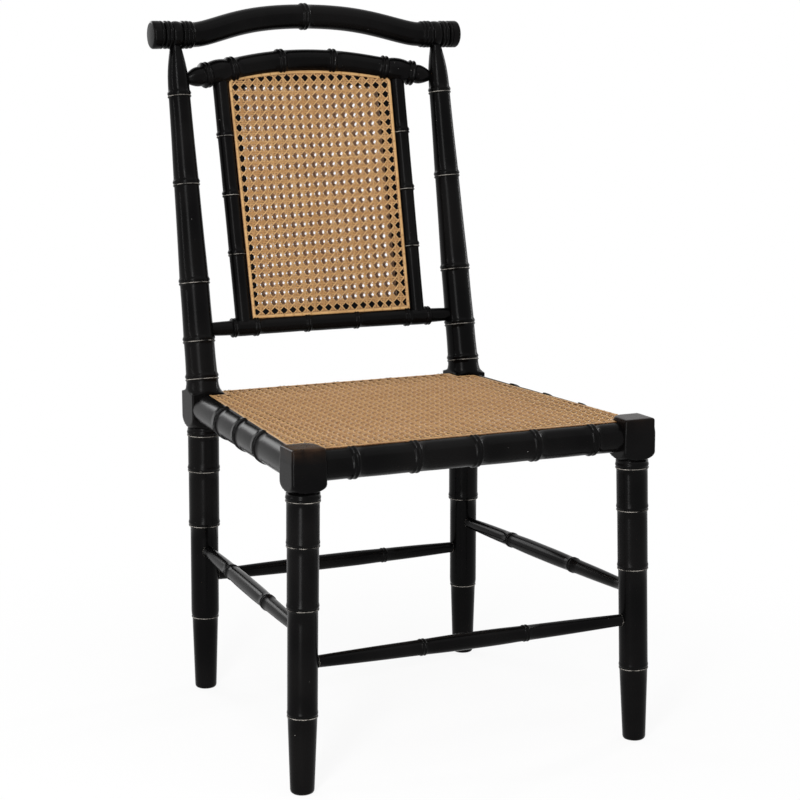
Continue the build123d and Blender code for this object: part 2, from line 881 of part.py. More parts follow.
def seat_net_gaps():
    """Middles of the gaps in the seat net."""
    border = binding_width + seat_net_bar / 2
    gaps = []
    for y in net_places(front_y + border, rear_y - border, seat_net_pitch):
        half = seat_half_width(y + seat_net_pitch / 2) - border
        reach = abs(y - front_y), abs(rear_y - y)
        if reach[0] < front_block / 2 + seat_net_pitch / 2 + seat_net_bar / 2:
            half = front_x - front_block / 2 - border
        if reach[1] < rear_block / 2 + seat_net_pitch / 2 + seat_net_bar / 2:
            half = rear_x - rear_block / 2 - border
        gaps += [(across, y) for across in net_places(-half, half, seat_net_pitch)]
    return gaps


with BuildPart() as seat_cane:
    with BuildSketch(Plane.XY.offset(seat_board_top)):
        add(seat_face(seat_gap))
        with Locations(*seat_net_gaps()):
            Rectangle(seat_net_pitch - seat_net_bar, seat_net_pitch - seat_net_bar, mode=Mode.SUBTRACT)
    extrude(amount=cane_thickness)
seat_cane.part.label = "seat_cane"

with BuildPart() as seat_binding:
    with BuildSketch(Plane.XY.offset(seat_board_top + cane_thickness)):
        add(seat_face(seat_gap))
        add(seat_face(seat_gap + binding_width), mode=Mode.SUBTRACT)
    extrude(amount=binding_thickness)
seat_binding.part.label = "seat_binding"
export_parts += [seat_cane.part, seat_binding.part]


# Corner braces under the seat
def brace_directions(side, back):
    """Directions from a block along its cross rail and its side rail."""
    head, along_side = (rear_head, front_head) if back else (front_head, rear_head)
    cross = Vector(-side, 0, 0)
    return cross, (Vector(*along_side(side)) - Vector(*head(side))).normalized()


corners = [(side, side_name, back) for side, side_name in sides for back in (False, True)]
brace_bottom = seat_board_bottom - brace_thickness
for side, side_name, back in corners:
    head = rear_head(side) if back else front_head(side)
    block = rear_block if back else front_block
    cross, lengthways = brace_directions(side, back)
    base = Vector(head[0], head[1], 0)
    with BuildPart() as brace:
        with BuildSketch(Plane.XY.offset(brace_bottom)):
            with BuildLine():
                Polyline(base, base + cross * brace_reach, base + lengthways * brace_reach, close=True)
            make_face()
            with Locations(base):
                Rectangle(block + 2 * glue_gap, block + 2 * glue_gap, mode=Mode.SUBTRACT)
        extrude(amount=brace_thickness)
        for rail in RAILS.values():
            if head in (rail.start, rail.end):
                add(rail_turning(rail, glue_gap), mode=Mode.SUBTRACT)
    brace.part.label = f"corner_brace_{'rear' if back else 'front'}_{side_name}"
    export_parts.append(brace.part)

# Boards of the seat
with BuildPart() as seat_ring:
    with BuildSketch(Plane.XY.offset(seat_board_bottom)):
        add(seat_face(seat_gap))
        add(seat_field(seat_gap + seat_board_width), mode=Mode.SUBTRACT)
    extrude(amount=seat_board_thickness)

front_cut = Plane(origin=(0, front_y + seat_gap + seat_board_width, 0), z_dir=(0, 1, 0))
rear_cut = Plane(origin=(0, rear_y - seat_gap - seat_board_width, 0), z_dir=(0, 1, 0))
with BuildPart() as seat_board_front:
    add(seat_ring.part)
    split(bisect_by=front_cut, keep=Keep.BOTTOM)
seat_board_front.part.label = "seat_board_front"
with BuildPart() as seat_board_rear:
    add(seat_ring.part)
    split(bisect_by=rear_cut, keep=Keep.TOP)
seat_board_rear.part.label = "seat_board_rear"
export_parts += [seat_board_front.part, seat_board_rear.part]
for side, side_name in sides:
    with BuildPart() as seat_board:
        add(seat_ring.part)
        split(bisect_by=front_cut, keep=Keep.TOP)
        split(bisect_by=rear_cut, keep=Keep.BOTTOM)
        split(bisect_by=Plane.YZ, keep=Keep.TOP if side > 0 else Keep.BOTTOM)
    seat_board.part.label = f"seat_board_{side_name}"
    export_parts.append(seat_board.part)


# Crest rail
def crest_end_outline():
    """Outline of the crest's turned end, from its end face inwards, and its length."""
    outer, deep = crest_end_radius, crest_end_radius - crest_groove_depth
    outline, place = [(outer - crest_edge, 0), (outer, crest_edge)], 0
    for length in crest_bead_lengths[:-1]:
        place += length
        outline += [(outer, place - crest_groove_half), (deep, place), (outer, place + crest_groove_half)]
    place += crest_bead_lengths[-1]
    return outline + [(outer, place - crest_edge), (crest_tube_radius, place)], place


def crest_end(side):
    """Turned end of the crest rail."""
    outline, _ = crest_end_outline()
    return turned((side * crest_half_length, crest_y, crest_height), (0, crest_y, crest_height), outline)


crest_plane = Plane(
    origin=(0, crest_y, crest_height),
    x_dir=(1, 0, 0),
    z_dir=(0, -cos(radians(crest_lean_angle)), sin(radians(crest_lean_angle))),
)
crest_span = crest_half_length - crest_end_outline()[1]
# The arch and the two return curves meet in line: half the turn has the tangent rise / span.
crest_radii = (crest_span**2 + crest_rise**2) / (2 * crest_rise)
crest_arch_radius = crest_radii - crest_return_radius
crest_sine = crest_span / crest_radii
crest_cosine = sqrt(1 - crest_sine**2)
arch_edge = (crest_arch_radius * crest_sine, crest_rise - crest_arch_radius * (1 - crest_cosine))

with BuildPart() as crest_rail:
    with BuildLine(crest_plane) as crest_path:
        return_middle = (crest_span, crest_return_radius)
        RadiusArc((-crest_span, 0), (-arch_edge[0], arch_edge[1]), -crest_return_radius)
        ThreePointArc((-arch_edge[0], arch_edge[1]), (0, crest_rise), arch_edge)
        RadiusArc(arch_edge, (crest_span, 0), -crest_return_radius)
    with BuildSketch(Plane(origin=(-crest_span, crest_y, crest_height), z_dir=(1, 0, 0))):
        Circle(crest_tube_radius)
    sweep(path=crest_path.wires()[0])
    for side, _ in sides:
        add(crest_end(side))
    ring_point = crest_plane.from_local_coords(Vector(0, crest_rise, 0))
    ring_outline = ridge_on_bend(crest_tube_radius, crest_ring_rise)
    add(turned(tuple(ring_point), tuple(ring_point + Vector(1, 0, 0)), ring_outline))
    for side, _ in sides:
        neck_hole_end = distance(knee(side), post_top(side)) + post_tenon_past_axis + glue_gap
        neck_hole = neck_hole_end - overrun, neck_hole_end
        add(dowel(knee(side), post_top(side), neck_radius + glue_gap, *neck_hole), mode=Mode.SUBTRACT)
crest_rail.part.label = "crest_rail"
export_parts.append(crest_rail.part)

# Seat rails and stretchers
for name in RAILS:
    export_parts.append(seat_rail(name))
for name in STRETCHERS:
    export_parts.append(stretcher(name))

# Front legs
for side, side_name in sides:
    with BuildPart() as front_stick:
        add(leg_turning(front_leg(side)))
        add(front_block_solid(side))
        for hole in stretcher_housings(front_leg(side)) + rail_mortises(front_head(side)):
            add(hole, mode=Mode.SUBTRACT)
    front_stick.part.label = f"front_leg_{side_name}"
    export_parts.append(front_stick.part)

# Rear posts
for side, side_name in sides:
    bottom_hole_seat = bottom_rail_seat() + glue_gap
    acorn_hole_seat = acorn_tip + acorn_housing + glue_gap
    with BuildPart() as rear_stick:
        add(leg_turning(rear_leg(side)))
        add(rear_block_solid(side))
        add(post_turning(side))
        for hole in stretcher_housings(rear_leg(side)) + rail_mortises(rear_head(side)):
            add(hole, mode=Mode.SUBTRACT)
        rail_line = back_point(0, bottom_up), back_point(side * rear_x, bottom_up)
        rail_hole = bottom_hole_seat - overrun, bottom_hole_seat
        add(dowel(*rail_line, back_rail_end_radius + glue_gap, *rail_hole), mode=Mode.SUBTRACT)
        acorn_hole = acorn_hole_seat - overrun, acorn_hole_seat
        add(dowel(*arch_end_line(side), acorn_neck_radius + glue_gap, *acorn_hole), mode=Mode.SUBTRACT)
    rear_stick.part.label = f"rear_post_{side_name}"
    export_parts.append(rear_stick.part)

os.makedirs("parts", exist_ok=True)
for piece in export_parts:
    export_step(piece, f"parts/{piece.label}.step")
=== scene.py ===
"""Side chair with a frame turned like bamboo, a caned seat and a double caned back.

Sizes are in millimetres until a shape becomes a mesh. +Z is up and the sitter faces -Y.
"""

import logging
import math
from dataclasses import dataclass, field
from enum import Enum
from typing import Callable, Sequence

import bpy
import numpy as np
from mathutils import Matrix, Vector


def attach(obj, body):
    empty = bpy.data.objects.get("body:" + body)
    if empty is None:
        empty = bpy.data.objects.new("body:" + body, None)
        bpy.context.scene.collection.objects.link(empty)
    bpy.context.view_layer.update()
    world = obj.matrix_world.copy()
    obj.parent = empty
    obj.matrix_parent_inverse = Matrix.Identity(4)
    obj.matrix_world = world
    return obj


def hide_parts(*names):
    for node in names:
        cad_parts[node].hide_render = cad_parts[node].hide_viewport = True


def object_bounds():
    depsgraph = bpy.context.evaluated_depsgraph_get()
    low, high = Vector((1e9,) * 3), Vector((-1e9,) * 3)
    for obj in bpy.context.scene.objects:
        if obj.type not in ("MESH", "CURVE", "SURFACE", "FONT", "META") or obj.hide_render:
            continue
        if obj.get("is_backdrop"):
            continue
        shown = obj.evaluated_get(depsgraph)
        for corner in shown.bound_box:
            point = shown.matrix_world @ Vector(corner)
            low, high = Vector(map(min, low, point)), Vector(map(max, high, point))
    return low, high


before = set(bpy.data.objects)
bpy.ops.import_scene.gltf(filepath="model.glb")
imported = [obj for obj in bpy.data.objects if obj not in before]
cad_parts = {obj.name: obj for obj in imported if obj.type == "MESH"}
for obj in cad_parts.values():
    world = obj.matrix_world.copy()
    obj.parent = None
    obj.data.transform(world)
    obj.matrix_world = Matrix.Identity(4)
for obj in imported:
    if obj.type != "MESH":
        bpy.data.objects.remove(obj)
CAD_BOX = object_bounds()
MM = 0.001
ACROSS, UP = np.array([1.0, 0, 0]), np.array([0, 0, 1.0])
LOG = logging.getLogger("chair")
Points = np.ndarray
Place = tuple[float, float, float]
Colour = tuple[float, float, float]
Profile = list[tuple[float, float, float]]
Path = Callable[[float], tuple[Points, Points]]
Surface = Callable[[Points, Points, Points], Points]
Knots = Callable[[float, float], tuple[Points, Points]]


class Slot(Enum):
    """Material slots of the record."""

    LACQUER = "frame_lacquer"
    CANE = "cane"
    BRACE = "brace_wood"


class Side(Enum):
    """Sides of the chair, as someone in front of it sees them."""

    LEFT = -1
    RIGHT = 1

    @property
    def word(self) -> str:
        """Name of the side in the names of pieces."""
        return self.name.lower()


# Shader arithmetic
def math_pair(operation: str) -> tuple[Callable, Callable]:
    """Operator methods that add a Math node.

    Args:
        operation: What the node does.

    Returns:
        The methods for a value on the left and on the right.
    """

    def left(self: "Value", other: object) -> "Value":
        """Value on the left."""
        return self.shader.value("ShaderNodeMath", {"operation": operation}, {0: self, 1: other})

    def right(self: "Value", other: object) -> "Value":
        """Value on the right."""
        return self.shader.value("ShaderNodeMath", {"operation": operation}, {0: other, 1: self})

    return left, right


@dataclass(frozen=True)
class Value:
    """Shader socket whose arithmetic adds Math nodes."""

    shader: "Shader"
    socket: bpy.types.NodeSocket

    __add__, __radd__ = math_pair("ADD")
    __sub__, __rsub__ = math_pair("SUBTRACT")
    __mul__, __rmul__ = math_pair("MULTIPLY")

    def step(self, low: float, high: float) -> "Value":
        """Rises smoothly from 0 at low to 1 at high."""
        settings = {"interpolation_type": "SMOOTHSTEP"}
        return self.shader.value("ShaderNodeMapRange", settings, {0: self, 1: low, 2: high})


class Shader:
    """Node tree of one material or of the world."""

    def __init__(self, tree: bpy.types.NodeTree) -> None:
        """Empties the tree, to build in it."""
        self.tree = tree
        tree.nodes.clear()

    def node(self, kind: str, settings: dict, inputs: dict) -> bpy.types.Node:
        """Adds a node of any type.

        Args:
            kind: Type of the node.
            settings: Its settings.
            inputs: Values or links of its sockets, by name or number.

        Returns:
            The node.
        """
        made = self.tree.nodes.new(kind)
        for name, value in settings.items():
            setattr(made, name, value)
        for name, value in inputs.items():
            source = value.socket if isinstance(value, Value) else value
            if isinstance(source, bpy.types.NodeSocket):
                self.tree.links.new(source, made.inputs[name])
            else:
                made.inputs[name].default_value = source
        return made

    def socket(self, kind: str, settings: dict, inputs: dict, output: object = 0) -> bpy.types.NodeSocket:
        """Adds a node and gives one of its outputs, by name or number."""
        return self.node(kind, settings, inputs).outputs[output]

    def value(self, kind: str, settings: dict, inputs: dict, output: object = 0) -> Value:
        """Adds a node and gives one of its outputs as a value."""
        return Value(self, self.socket(kind, settings, inputs, output))

    def place(self) -> bpy.types.NodeSocket:
        """Places on the chair."""
        return self.socket("ShaderNodeTexCoord", {}, {}, "Object")

    def mark(self, name: str) -> Value:
        """Mark that the points of a mesh carry."""
        return self.value("ShaderNodeAttribute", {"attribute_name": name}, {}, "Fac")

    def noise(self, vector: object, scale: float, detail: float = 2.0) -> Value:
        """Noise from 0 to 1, with this many bumps in a unit and finer layers."""
        return self.value("ShaderNodeTexNoise", {}, {"Vector": vector, "Scale": scale, "Detail": detail}, "Fac")

    def scaled(self, vector: object, factors: tuple[float, float, float]) -> bpy.types.NodeSocket:
        """Coordinates stretched along their axes."""
        return self.socket("ShaderNodeVectorMath", {"operation": "MULTIPLY"}, {0: vector, 1: factors})

    def blend(self, factor: object, low: object, high: object) -> bpy.types.NodeSocket:
        """Mixes two colours, all of the first where the factor is 0."""
        inputs = {0: factor, 6: with_alpha(low), 7: with_alpha(high)}
        return self.socket("ShaderNodeMix", {"data_type": "RGBA"}, inputs, 2)

    def bump(self, height: Value, strength: float, distance: float) -> bpy.types.NodeSocket:
        """Normal of a bump whose heights, from 0 to 1, stand for a distance in metres."""
        inputs = {"Strength": strength, "Distance": distance, "Height": height}
        return self.socket("ShaderNodeBump", {}, inputs)


def with_alpha(colour: object) -> object:
    """Adds alpha to a colour that is given as numbers."""
    return (*colour, 1.0) if isinstance(colour, tuple) else colour


def new_material(name: str) -> tuple[bpy.types.Material, Shader]:
    """Makes an empty material.

    Args:
        name: Name of the material.

    Returns:
        The material and its shader.
    """
    material = bpy.data.materials.new(name)
    material.use_nodes = True
    return material, Shader(material.node_tree)


@dataclass(frozen=True)
class Finish:
    """What a surface is made of.

    Attributes:
        name: Name of the material.
        slot: Material slot of the record.
        crease: Angle in degrees above which an edge is sharp.
    """

    name: str
    slot: Slot
    crease: float

    def dress(self, shader: Shader) -> dict:
        """Sockets of the principled shader; each finish gives its own."""
        raise NotImplementedError

    def material(self) -> bpy.types.Material:
        """Makes the material, once."""
        known = bpy.data.materials.get(self.name)
        if known:
            return known
        material, shader = new_material(self.name)
        surface = shader.socket("ShaderNodeBsdfPrincipled", {}, self.dress(shader))
        shader.node("ShaderNodeOutputMaterial", {}, {"Surface": surface})
        return material


@dataclass(frozen=True)
class Lacquer(Finish):
    """Black lacquer over turned wood, rubbed pale on the ridges and brown where hands go."""

    name: str = "black_lacquer"
    slot: Slot = Slot.LACQUER
    crease: float = 50.0
    black: Colour = (0.0012, 0.0011, 0.0012)
    faded: Colour = (0.0034, 0.0031, 0.0031)
    bare: Colour = (0.32, 0.30, 0.27)
    brown: Colour = (0.040, 0.021, 0.012)
    chip: Colour = (0.30, 0.29, 0.27)
    roughness: float = 0.16

    def dress(self, shader: Shader) -> dict:
        """Colours, gloss and bump of the lacquer.

        Args:
            shader: Shader to add to.

        Returns:
            Sockets of the principled shader.
        """
        place = shader.place()
        wear, rub = shader.mark("wear"), shader.mark("rub")
        cloud = shader.noise(place, 9.0, 3.0)
        grit = shader.noise(place, 420.0, 3.0)
        patch = shader.noise(place, 75.0, 4.0)
        flecks = shader.value("ShaderNodeTexVoronoi", {}, {"Vector": place, "Scale": 95.0}, "Distance")
        chips = (1 - flecks.step(0.035, 0.06)) * shader.noise(place, 14.0, 1.0).step(0.60, 0.68)
        ridge = (wear * 1.9 - 1.75 + patch * 1.3 + grit * 0.35).step(0.66, 1.05)
        rubbed = rub * (patch * 0.6 + cloud * 0.6).step(0.34, 0.78)
        colour = shader.blend(cloud.step(0.35, 0.7), self.black, self.faded)
        colour = shader.blend(rubbed, colour, self.brown)
        colour = shader.blend(chips, colour, self.chip)
        colour = shader.blend(ridge, colour, self.bare)
        height = grit * 0.25 + patch * 0.35 + shader.noise(place, 170.0, 2.0) * 0.4
        return {
            "Base Color": colour,
            "Roughness": self.roughness + cloud.step(0.3, 0.8) * 0.07 + grit * 0.07 + rubbed * 0.16 + ridge * 0.2,
            "Specular IOR Level": 0.05,
            "Normal": shader.bump(height, 0.09, 0.0003),
        }


@dataclass(frozen=True)
class Cane(Finish):
    """Split cane: a honey-coloured skin with fine fibres, darker at the edges of each strand as painted shade.

    The fibre mark holds the place across a strand (0 to 1 on the skin, 2 underneath), the place along it and its
    shade, which on woven strands is partly painted shade.
    """

    name: str = "woven_cane"
    slot: Slot = Slot.CANE
    crease: float = 60.0
    pale: Colour = (0.640, 0.400, 0.170)
    honey: Colour = (0.410, 0.215, 0.072)
    brown: Colour = (0.150, 0.058, 0.019)
    inner: Colour = (0.460, 0.285, 0.180)

    def dress(self, shader: Shader) -> dict:
        """Colours, sheen and bump of the cane.

        Args:
            shader: Shader to add to.

        Returns:
            Sockets of the principled shader.
        """
        fibre = shader.socket("ShaderNodeAttribute", {"attribute_name": "fibre"}, {}, "Vector")
        parts = shader.node("ShaderNodeSeparateXYZ", {}, {0: fibre}).outputs
        across, seed = Value(shader, parts[0]), Value(shader, parts[2])
        hairs = shader.noise(shader.scaled(fibre, (3.2, 0.010, 61.0)), 2.6, 3.0)
        blotch = shader.noise(shader.scaled(fibre, (0.3, 0.022, 17.0)), 1.0, 2.0)
        rings = shader.noise(shader.scaled(fibre, (0.1, 0.16, 29.0)), 1.0, 1.0)
        # Each strand's tone, darker on paired strands as painted shade, mixed with blotches.
        tone = seed * 0.45 + blotch * 0.55
        colour = shader.blend(tone.step(0.22, 0.74), self.pale, self.honey)
        # Rings and hairs are stains of the cane; the darkening towards each strand's edges is painted shade.
        stain_and_edge_shade = (rings.step(0.66, 0.80) * 0.35 + hairs.step(0.50, 0.84) * 0.5) + across.step(0.4, 1.0) * 0.85
        colour = shader.blend(stain_and_edge_shade, colour, self.brown)
        underside = across.step(1.2, 1.9)
        colour = shader.blend(underside * 0.85, colour, self.inner)
        return {
            "Base Color": colour,
            "Roughness": 0.36 + hairs * 0.2 + underside * 0.3,
            "Specular IOR Level": 0.4,
            "Normal": shader.bump(hairs * 0.7 + rings * 0.3, 0.35, 0.0002),
        }


@dataclass(frozen=True)
class SawnWood(Finish):
    """Plain sawn wood of the braces, with its grain along X."""

    name: str = "sawn_wood"
    slot: Slot = Slot.BRACE
    crease: float = 40.0
    pale: Colour = (0.46, 0.32, 0.19)
    dark: Colour = (0.27, 0.165, 0.085)

    def dress(self, shader: Shader) -> dict:
        """Grain and saw marks.

        Args:
            shader: Shader to add to.

        Returns:
            Sockets of the principled shader.
        """
        place = shader.place()
        grain = shader.noise(shader.scaled(place, (14.0, 190.0, 190.0)), 1.0, 4.0)
        saw = shader.noise(shader.scaled(place, (520.0, 30.0, 30.0)), 1.0, 1.0)
        return {
            "Base Color": shader.blend(grain.step(0.3, 0.72), self.pale, self.dark),
            "Roughness": 0.62 + grain * 0.2,
            "Normal": shader.bump(grain * 0.7 + saw * 0.3, 0.4, 0.0005),
        }


@dataclass(frozen=True)
class Steel(Finish):
    """Dull zinc-plated steel of the screws."""

    name: str = "screw_steel"
    slot: Slot = Slot.BRACE
    crease: float = 40.0
    bright: Colour = (0.46, 0.45, 0.42)
    dull: Colour = (0.27, 0.25, 0.22)

    def dress(self, shader: Shader) -> dict:
        """Brushed metal with dull patches.

        Args:
            shader: Shader to add to.

        Returns:
            Sockets of the principled shader.
        """
        patch = shader.noise(shader.place(), 600.0, 3.0)
        return {
            "Base Color": shader.blend(patch, self.bright, self.dull),
            "Metallic": 1.0,
            "Roughness": 0.34 + patch * 0.25,
            "Normal": shader.bump(patch, 0.3, 0.0001),
        }


BLACK = Lacquer()
BOARD_BLACK = Lacquer(crease=30.0)


# Meshes
def placed(name: str, data: bpy.types.ID) -> bpy.types.Object:
    """Puts a mesh, lamp or camera into the scene.

    Args:
        name: Name of the object.
        data: The mesh, lamp or camera.

    Returns:
        The object.
    """
    made = bpy.data.objects.new(name, data)
    bpy.context.scene.collection.objects.link(made)
    return made


class Shape:
    """Points and faces in millimetres that become one piece."""

    def __init__(self) -> None:
        """Starts with nothing."""
        self.points: list[Points] = []
        self.faces: list[list[int]] = []
        self.marks: dict[str, list[Points]] = {"wear": [], "rub": [], "fibre": []}
        self.total = 0

    def skin(self, rings: Points, looped: bool = False, **marks: Points) -> None:
        """Skins rings of equally many points.

        Args:
            rings: Points, one row for each ring.
            looped: Whether the last ring joins the first; otherwise both ends are capped.
            marks: Wear, rub or fibre of each point of each ring.
        """
        count, sides = rings.shape[:2]
        grid = np.arange(self.total, self.total + count * sides).reshape(count, sides)
        low, high = (grid, np.roll(grid, -1, axis=0)) if looped else (grid[:-1], grid[1:])
        corners = (low, np.roll(low, -1, axis=1), np.roll(high, -1, axis=1), high)
        self.faces += np.stack(corners, axis=-1).reshape(-1, 4).tolist()
        if not looped:
            self.faces += [grid[0, ::-1].tolist(), grid[-1].tolist()]
        self.points.append(rings.reshape(-1, 3))
        for mark, rows in self.marks.items():
            size = (3,) if mark == "fibre" else ()
            rows.append(np.reshape(marks.get(mark, np.zeros((count, sides, *size))), (-1, *size)))
        self.total += count * sides

    def piece(self, name: str, finish: Finish, *nodes: str) -> None:
        """Makes the object.

        Args:
            name: Name of the piece.
            finish: Its finish.
            nodes: CAD nodes that it replaces.
        """
        mesh = bpy.data.meshes.new(name)
        mesh.from_pydata((np.concatenate(self.points) * MM).tolist(), [], self.faces)
        mesh.polygons.foreach_set("use_smooth", np.ones(len(mesh.polygons), bool))
        mesh.set_sharp_from_angle(angle=math.radians(finish.crease))
        for mark, rows in self.marks.items():
            kind, key = ("FLOAT_VECTOR", "vector") if mark == "fibre" else ("FLOAT", "value")
            made = mesh.attributes.new(mark, kind, "POINT")
            made.data.foreach_set(key, np.concatenate(rows).astype(np.float32).ravel())
        mesh.validate()
        mesh.update()
        piece = placed(name, mesh)
        mesh.materials.append(finish.material())
        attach(piece, "root")
        if nodes:
            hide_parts(*nodes)
        LOG.info("%s: %d points for %s", name, self.total, ", ".join(nodes) or "no node")


def unit(vector: Points) -> Points:
    """Vector of length one in the same direction."""
    return vector / np.linalg.norm(vector)


def straight(base: Sequence[float], tip: Sequence[float]) -> Path:
    """Straight path towards a tip, its places counted from the base."""
    start, along = np.array(base, float), unit(np.subtract(tip, base))
    return lambda place: (start + along * place, along)


def bent(point: Callable[[float], Points], reach: float = 0.5) -> Path:
    """Path through the points that a function gives, its direction taken over twice the reach."""
    return lambda place: (point(place), unit(point(place + reach) - point(place - reach)))


TURNS = np.linspace(0, 2 * math.pi, 57)[:-1]


def section(path: Path, place: float, radii: object, angles: Points = TURNS, level: float = 0.0) -> Points:
    """Ring of points round a path.

    Args:
        path: Axis of the ring.
        place: Place of the ring along it.
        radii: Radius, or one radius for each angle.
        angles: Angles of the points.
        level: 1 turns the ring level, 0 leaves it square to the path.

    Returns:
        The points.
    """
    centre, along = path(place)
    along = unit(along * (1 - level) + UP * level)
    over = np.array([0, 1.0, 0]) if abs(along[1]) < 0.9 else -UP
    side = unit(np.cross(over, along))
    other = np.cross(along, side)
    radii = np.broadcast_to(np.asarray(radii, float), angles.shape)[:, None]
    return centre + radii * (np.cos(angles)[:, None] * side + np.sin(angles)[:, None] * other)


def wear_of(profile: Profile, sides: int = len(TURNS)) -> Points:
    """Wear of every point of a profile's rings."""
    return np.array([np.full(sides, worn) for _, _, worn in profile])


def turn(name: str, path: Path, profile: Profile) -> None:
    """Builds the turned piece that stands for a CAD node.

    Args:
        name: Name of the node.
        path: Axis of the work.
        profile: Place, radius and wear of each ring.
    """
    shape = Shape()
    shape.skin(np.array([section(path, place, radius) for place, radius, _ in profile]), wear=wear_of(profile))
    shape.piece(f"{name}_turned", BLACK, name)


def node(place: float, ring: float, below: float, above: float, half: float = 6.6, lean: float = 0.0) -> Profile:
    """Profile of one bamboo node: two ridges with a rubbed groove between them.

    Args:
        place: Middle of the node.
        ring: Radius of the ridges.
        below: Radius of the stretch before the node.
        above: Radius of the stretch after it.
        half: Half of its length.
        lean: 1 makes the upper ridge full and the lower one thin, as on upright sticks.

    Returns:
        The rings of the node.
    """
    deep, groove, worn = 0.2 * half, -0.24 * lean, 0.55 + 0.45 * lean
    low, high = ring - below, ring - above
    rings = (
        (-1.0, below, 0.0),
        (-0.82, below + 0.30 * low, 0.0),
        (-0.66, below + 0.86 * low, 0.2),
        (-0.52, ring - 0.12 * lean * low, 0.9 * worn),
        (-0.36, ring - 0.15 * deep, worn),
        (-0.24 + groove * 0.5, ring - 0.6 * deep, 0.35),
        (-0.12 + groove * 0.5, ring - 0.95 * deep, 0.0),
        (0.06 + groove * 0.5, ring - 0.95 * deep, 0.0),
        (0.24 + groove * 0.3, ring - 0.22 * deep, 0.1),
        (0.42, ring, 0.3),
        (0.64, above + (0.84 + 0.06 * lean) * high, 0.0),
        (0.84 + 0.10 * lean, above + (0.34 + 0.12 * lean) * high, 0.0),
        (1.0 + 0.35 * lean, above, 0.0),
    )
    return [(place + share * half, radius, rubbed) for share, radius, rubbed in rings]


def stretch(low: tuple[float, float], high: tuple[float, float], swell: float, count: int = 7) -> Profile:
    """Rings of the plain stretch between two places, each given with its radius.

    Args:
        low: Place and radius where it starts.
        high: Place and radius where it ends.
        swell: How much thicker its middle is, or thinner where negative.
        count: Number of rings.

    Returns:
        The rings between its ends.
    """
    shares = [(number + 1) / (count + 1) for number in range(count)]
    run, rise = high[0] - low[0], high[1] - low[1]
    return [(low[0] + run * s, low[1] + rise * s + swell * math.sin(math.pi * s) ** 1.2, 0.0) for s in shares]


def jointed(nodes: Sequence[Profile], swell: float) -> Profile:
    """Joins nodes with plain stretches.

    Args:
        nodes: Profiles of the nodes or the ends, in order.
        swell: How much thicker the middle of each stretch is.

    Returns:
        The whole profile.
    """
    profile = list(nodes[0])
    for part in nodes[1:]:
        profile += stretch(profile[-1][:2], part[0][:2], swell) + part
    return profile


def both_ways(half: Profile) -> Profile:
    """Profile that is alike on both sides of place zero, from its half."""
    return [(-place, radius, worn) for place, radius, worn in reversed(half)] + half


# Heights of the seat rails' axes, of the bend of the posts and of the crest rail, and how the posts lean and draw in
RAIL_Z = 442.0
KNEE_Z = 470.0
CREST_Z = 997.0
RAKE = math.radians(11.25)
POST_DRAW_IN = 2.0


@dataclass(frozen=True)
class Corner:
    """Front or rear corners of the seat, where the legs stand.

    Attributes:
        x: Distance of a block's axis from the middle of the chair.
        y: Place of a block's axis from front to back.
        splay: How far the foot stands outwards and backwards from there.
        block: Width of the block that the seat is notched round.
    """

    x: float
    y: float
    splay: tuple[float, float]
    block: float

    def head(self, side: Side) -> Place:
        """Middle of a block."""
        return (side.value * self.x, self.y, RAIL_Z)

    def foot(self, side: Side) -> Place:
        """Middle of a foot."""
        return (side.value * (self.x + self.splay[0]), self.y + self.splay[1], 0.0)

    def leg_at(self, side: Side, height: float) -> Points:
        """Point of a leg's axis at a height."""
        foot, head = np.array(self.foot(side)), np.array(self.head(side))
        return foot + (head - foot) * height / RAIL_Z


FRONT = Corner(248.0, -298.338, (8.7, -5.8), 48.4)
REAR = Corner(220.0, 176.662, (2.3, 6.0), 51.0)
SEAT_RUN = REAR.y - FRONT.y
SEAT_MIDDLE = (FRONT.y + REAR.y) / 2
CREST_Y = REAR.y + (CREST_Z - KNEE_Z) * math.tan(RAKE)


def post_ends(side: Side) -> tuple[Place, Place]:
    """Point where a post turns back, and the top of its axis."""
    return (side.value * REAR.x, REAR.y, KNEE_Z), (side.value * (REAR.x - POST_DRAW_IN), CREST_Y, CREST_Z)


# Legs and posts
# Angles of a quarter of a block's ring in degrees, closer together at the corner
QUARTER = (0, 7, 14, 21, 28, 34, 38, 40.5, 42.5, 44, 45, 46, 47.5, 49.5, 52, 56, 62, 69, 76, 83)
CORNERED = np.radians([90.0 * corner + angle for corner in range(4) for angle in QUARTER])


def square_radii(half: float, rounds: Sequence[float]) -> Points:
    """Radii of a square with rounded corners, one for each of the cornered angles.

    Args:
        half: Half of its width.
        rounds: Radius of each corner, from the one at +X +Y, anticlockwise.

    Returns:
        The radii.
    """
    radii = []
    for angle in CORNERED:
        corner = int((angle + 1e-9) // (math.pi / 2)) % 4
        local = angle - corner * math.pi / 2
        bend = min(rounds[corner], half - 0.01)
        inner = half - bend
        reach = half / max(math.cos(local), math.sin(local))
        if reach * min(math.cos(local), math.sin(local)) > inner:
            mean = inner * (math.cos(local) + math.sin(local))
            reach = mean + math.sqrt(mean**2 - 2 * inner**2 + bend**2)
        radii.append(reach)
    return np.array(radii)


def edge_wear(radii: Points, half: float) -> Points:
    """Wear that gathers on the corners of a block's ring, where it is square enough to have any."""
    return np.clip((radii / half - 1.22) * 1.6, 0, 0.35) * (radii.max() > 1.2 * half)


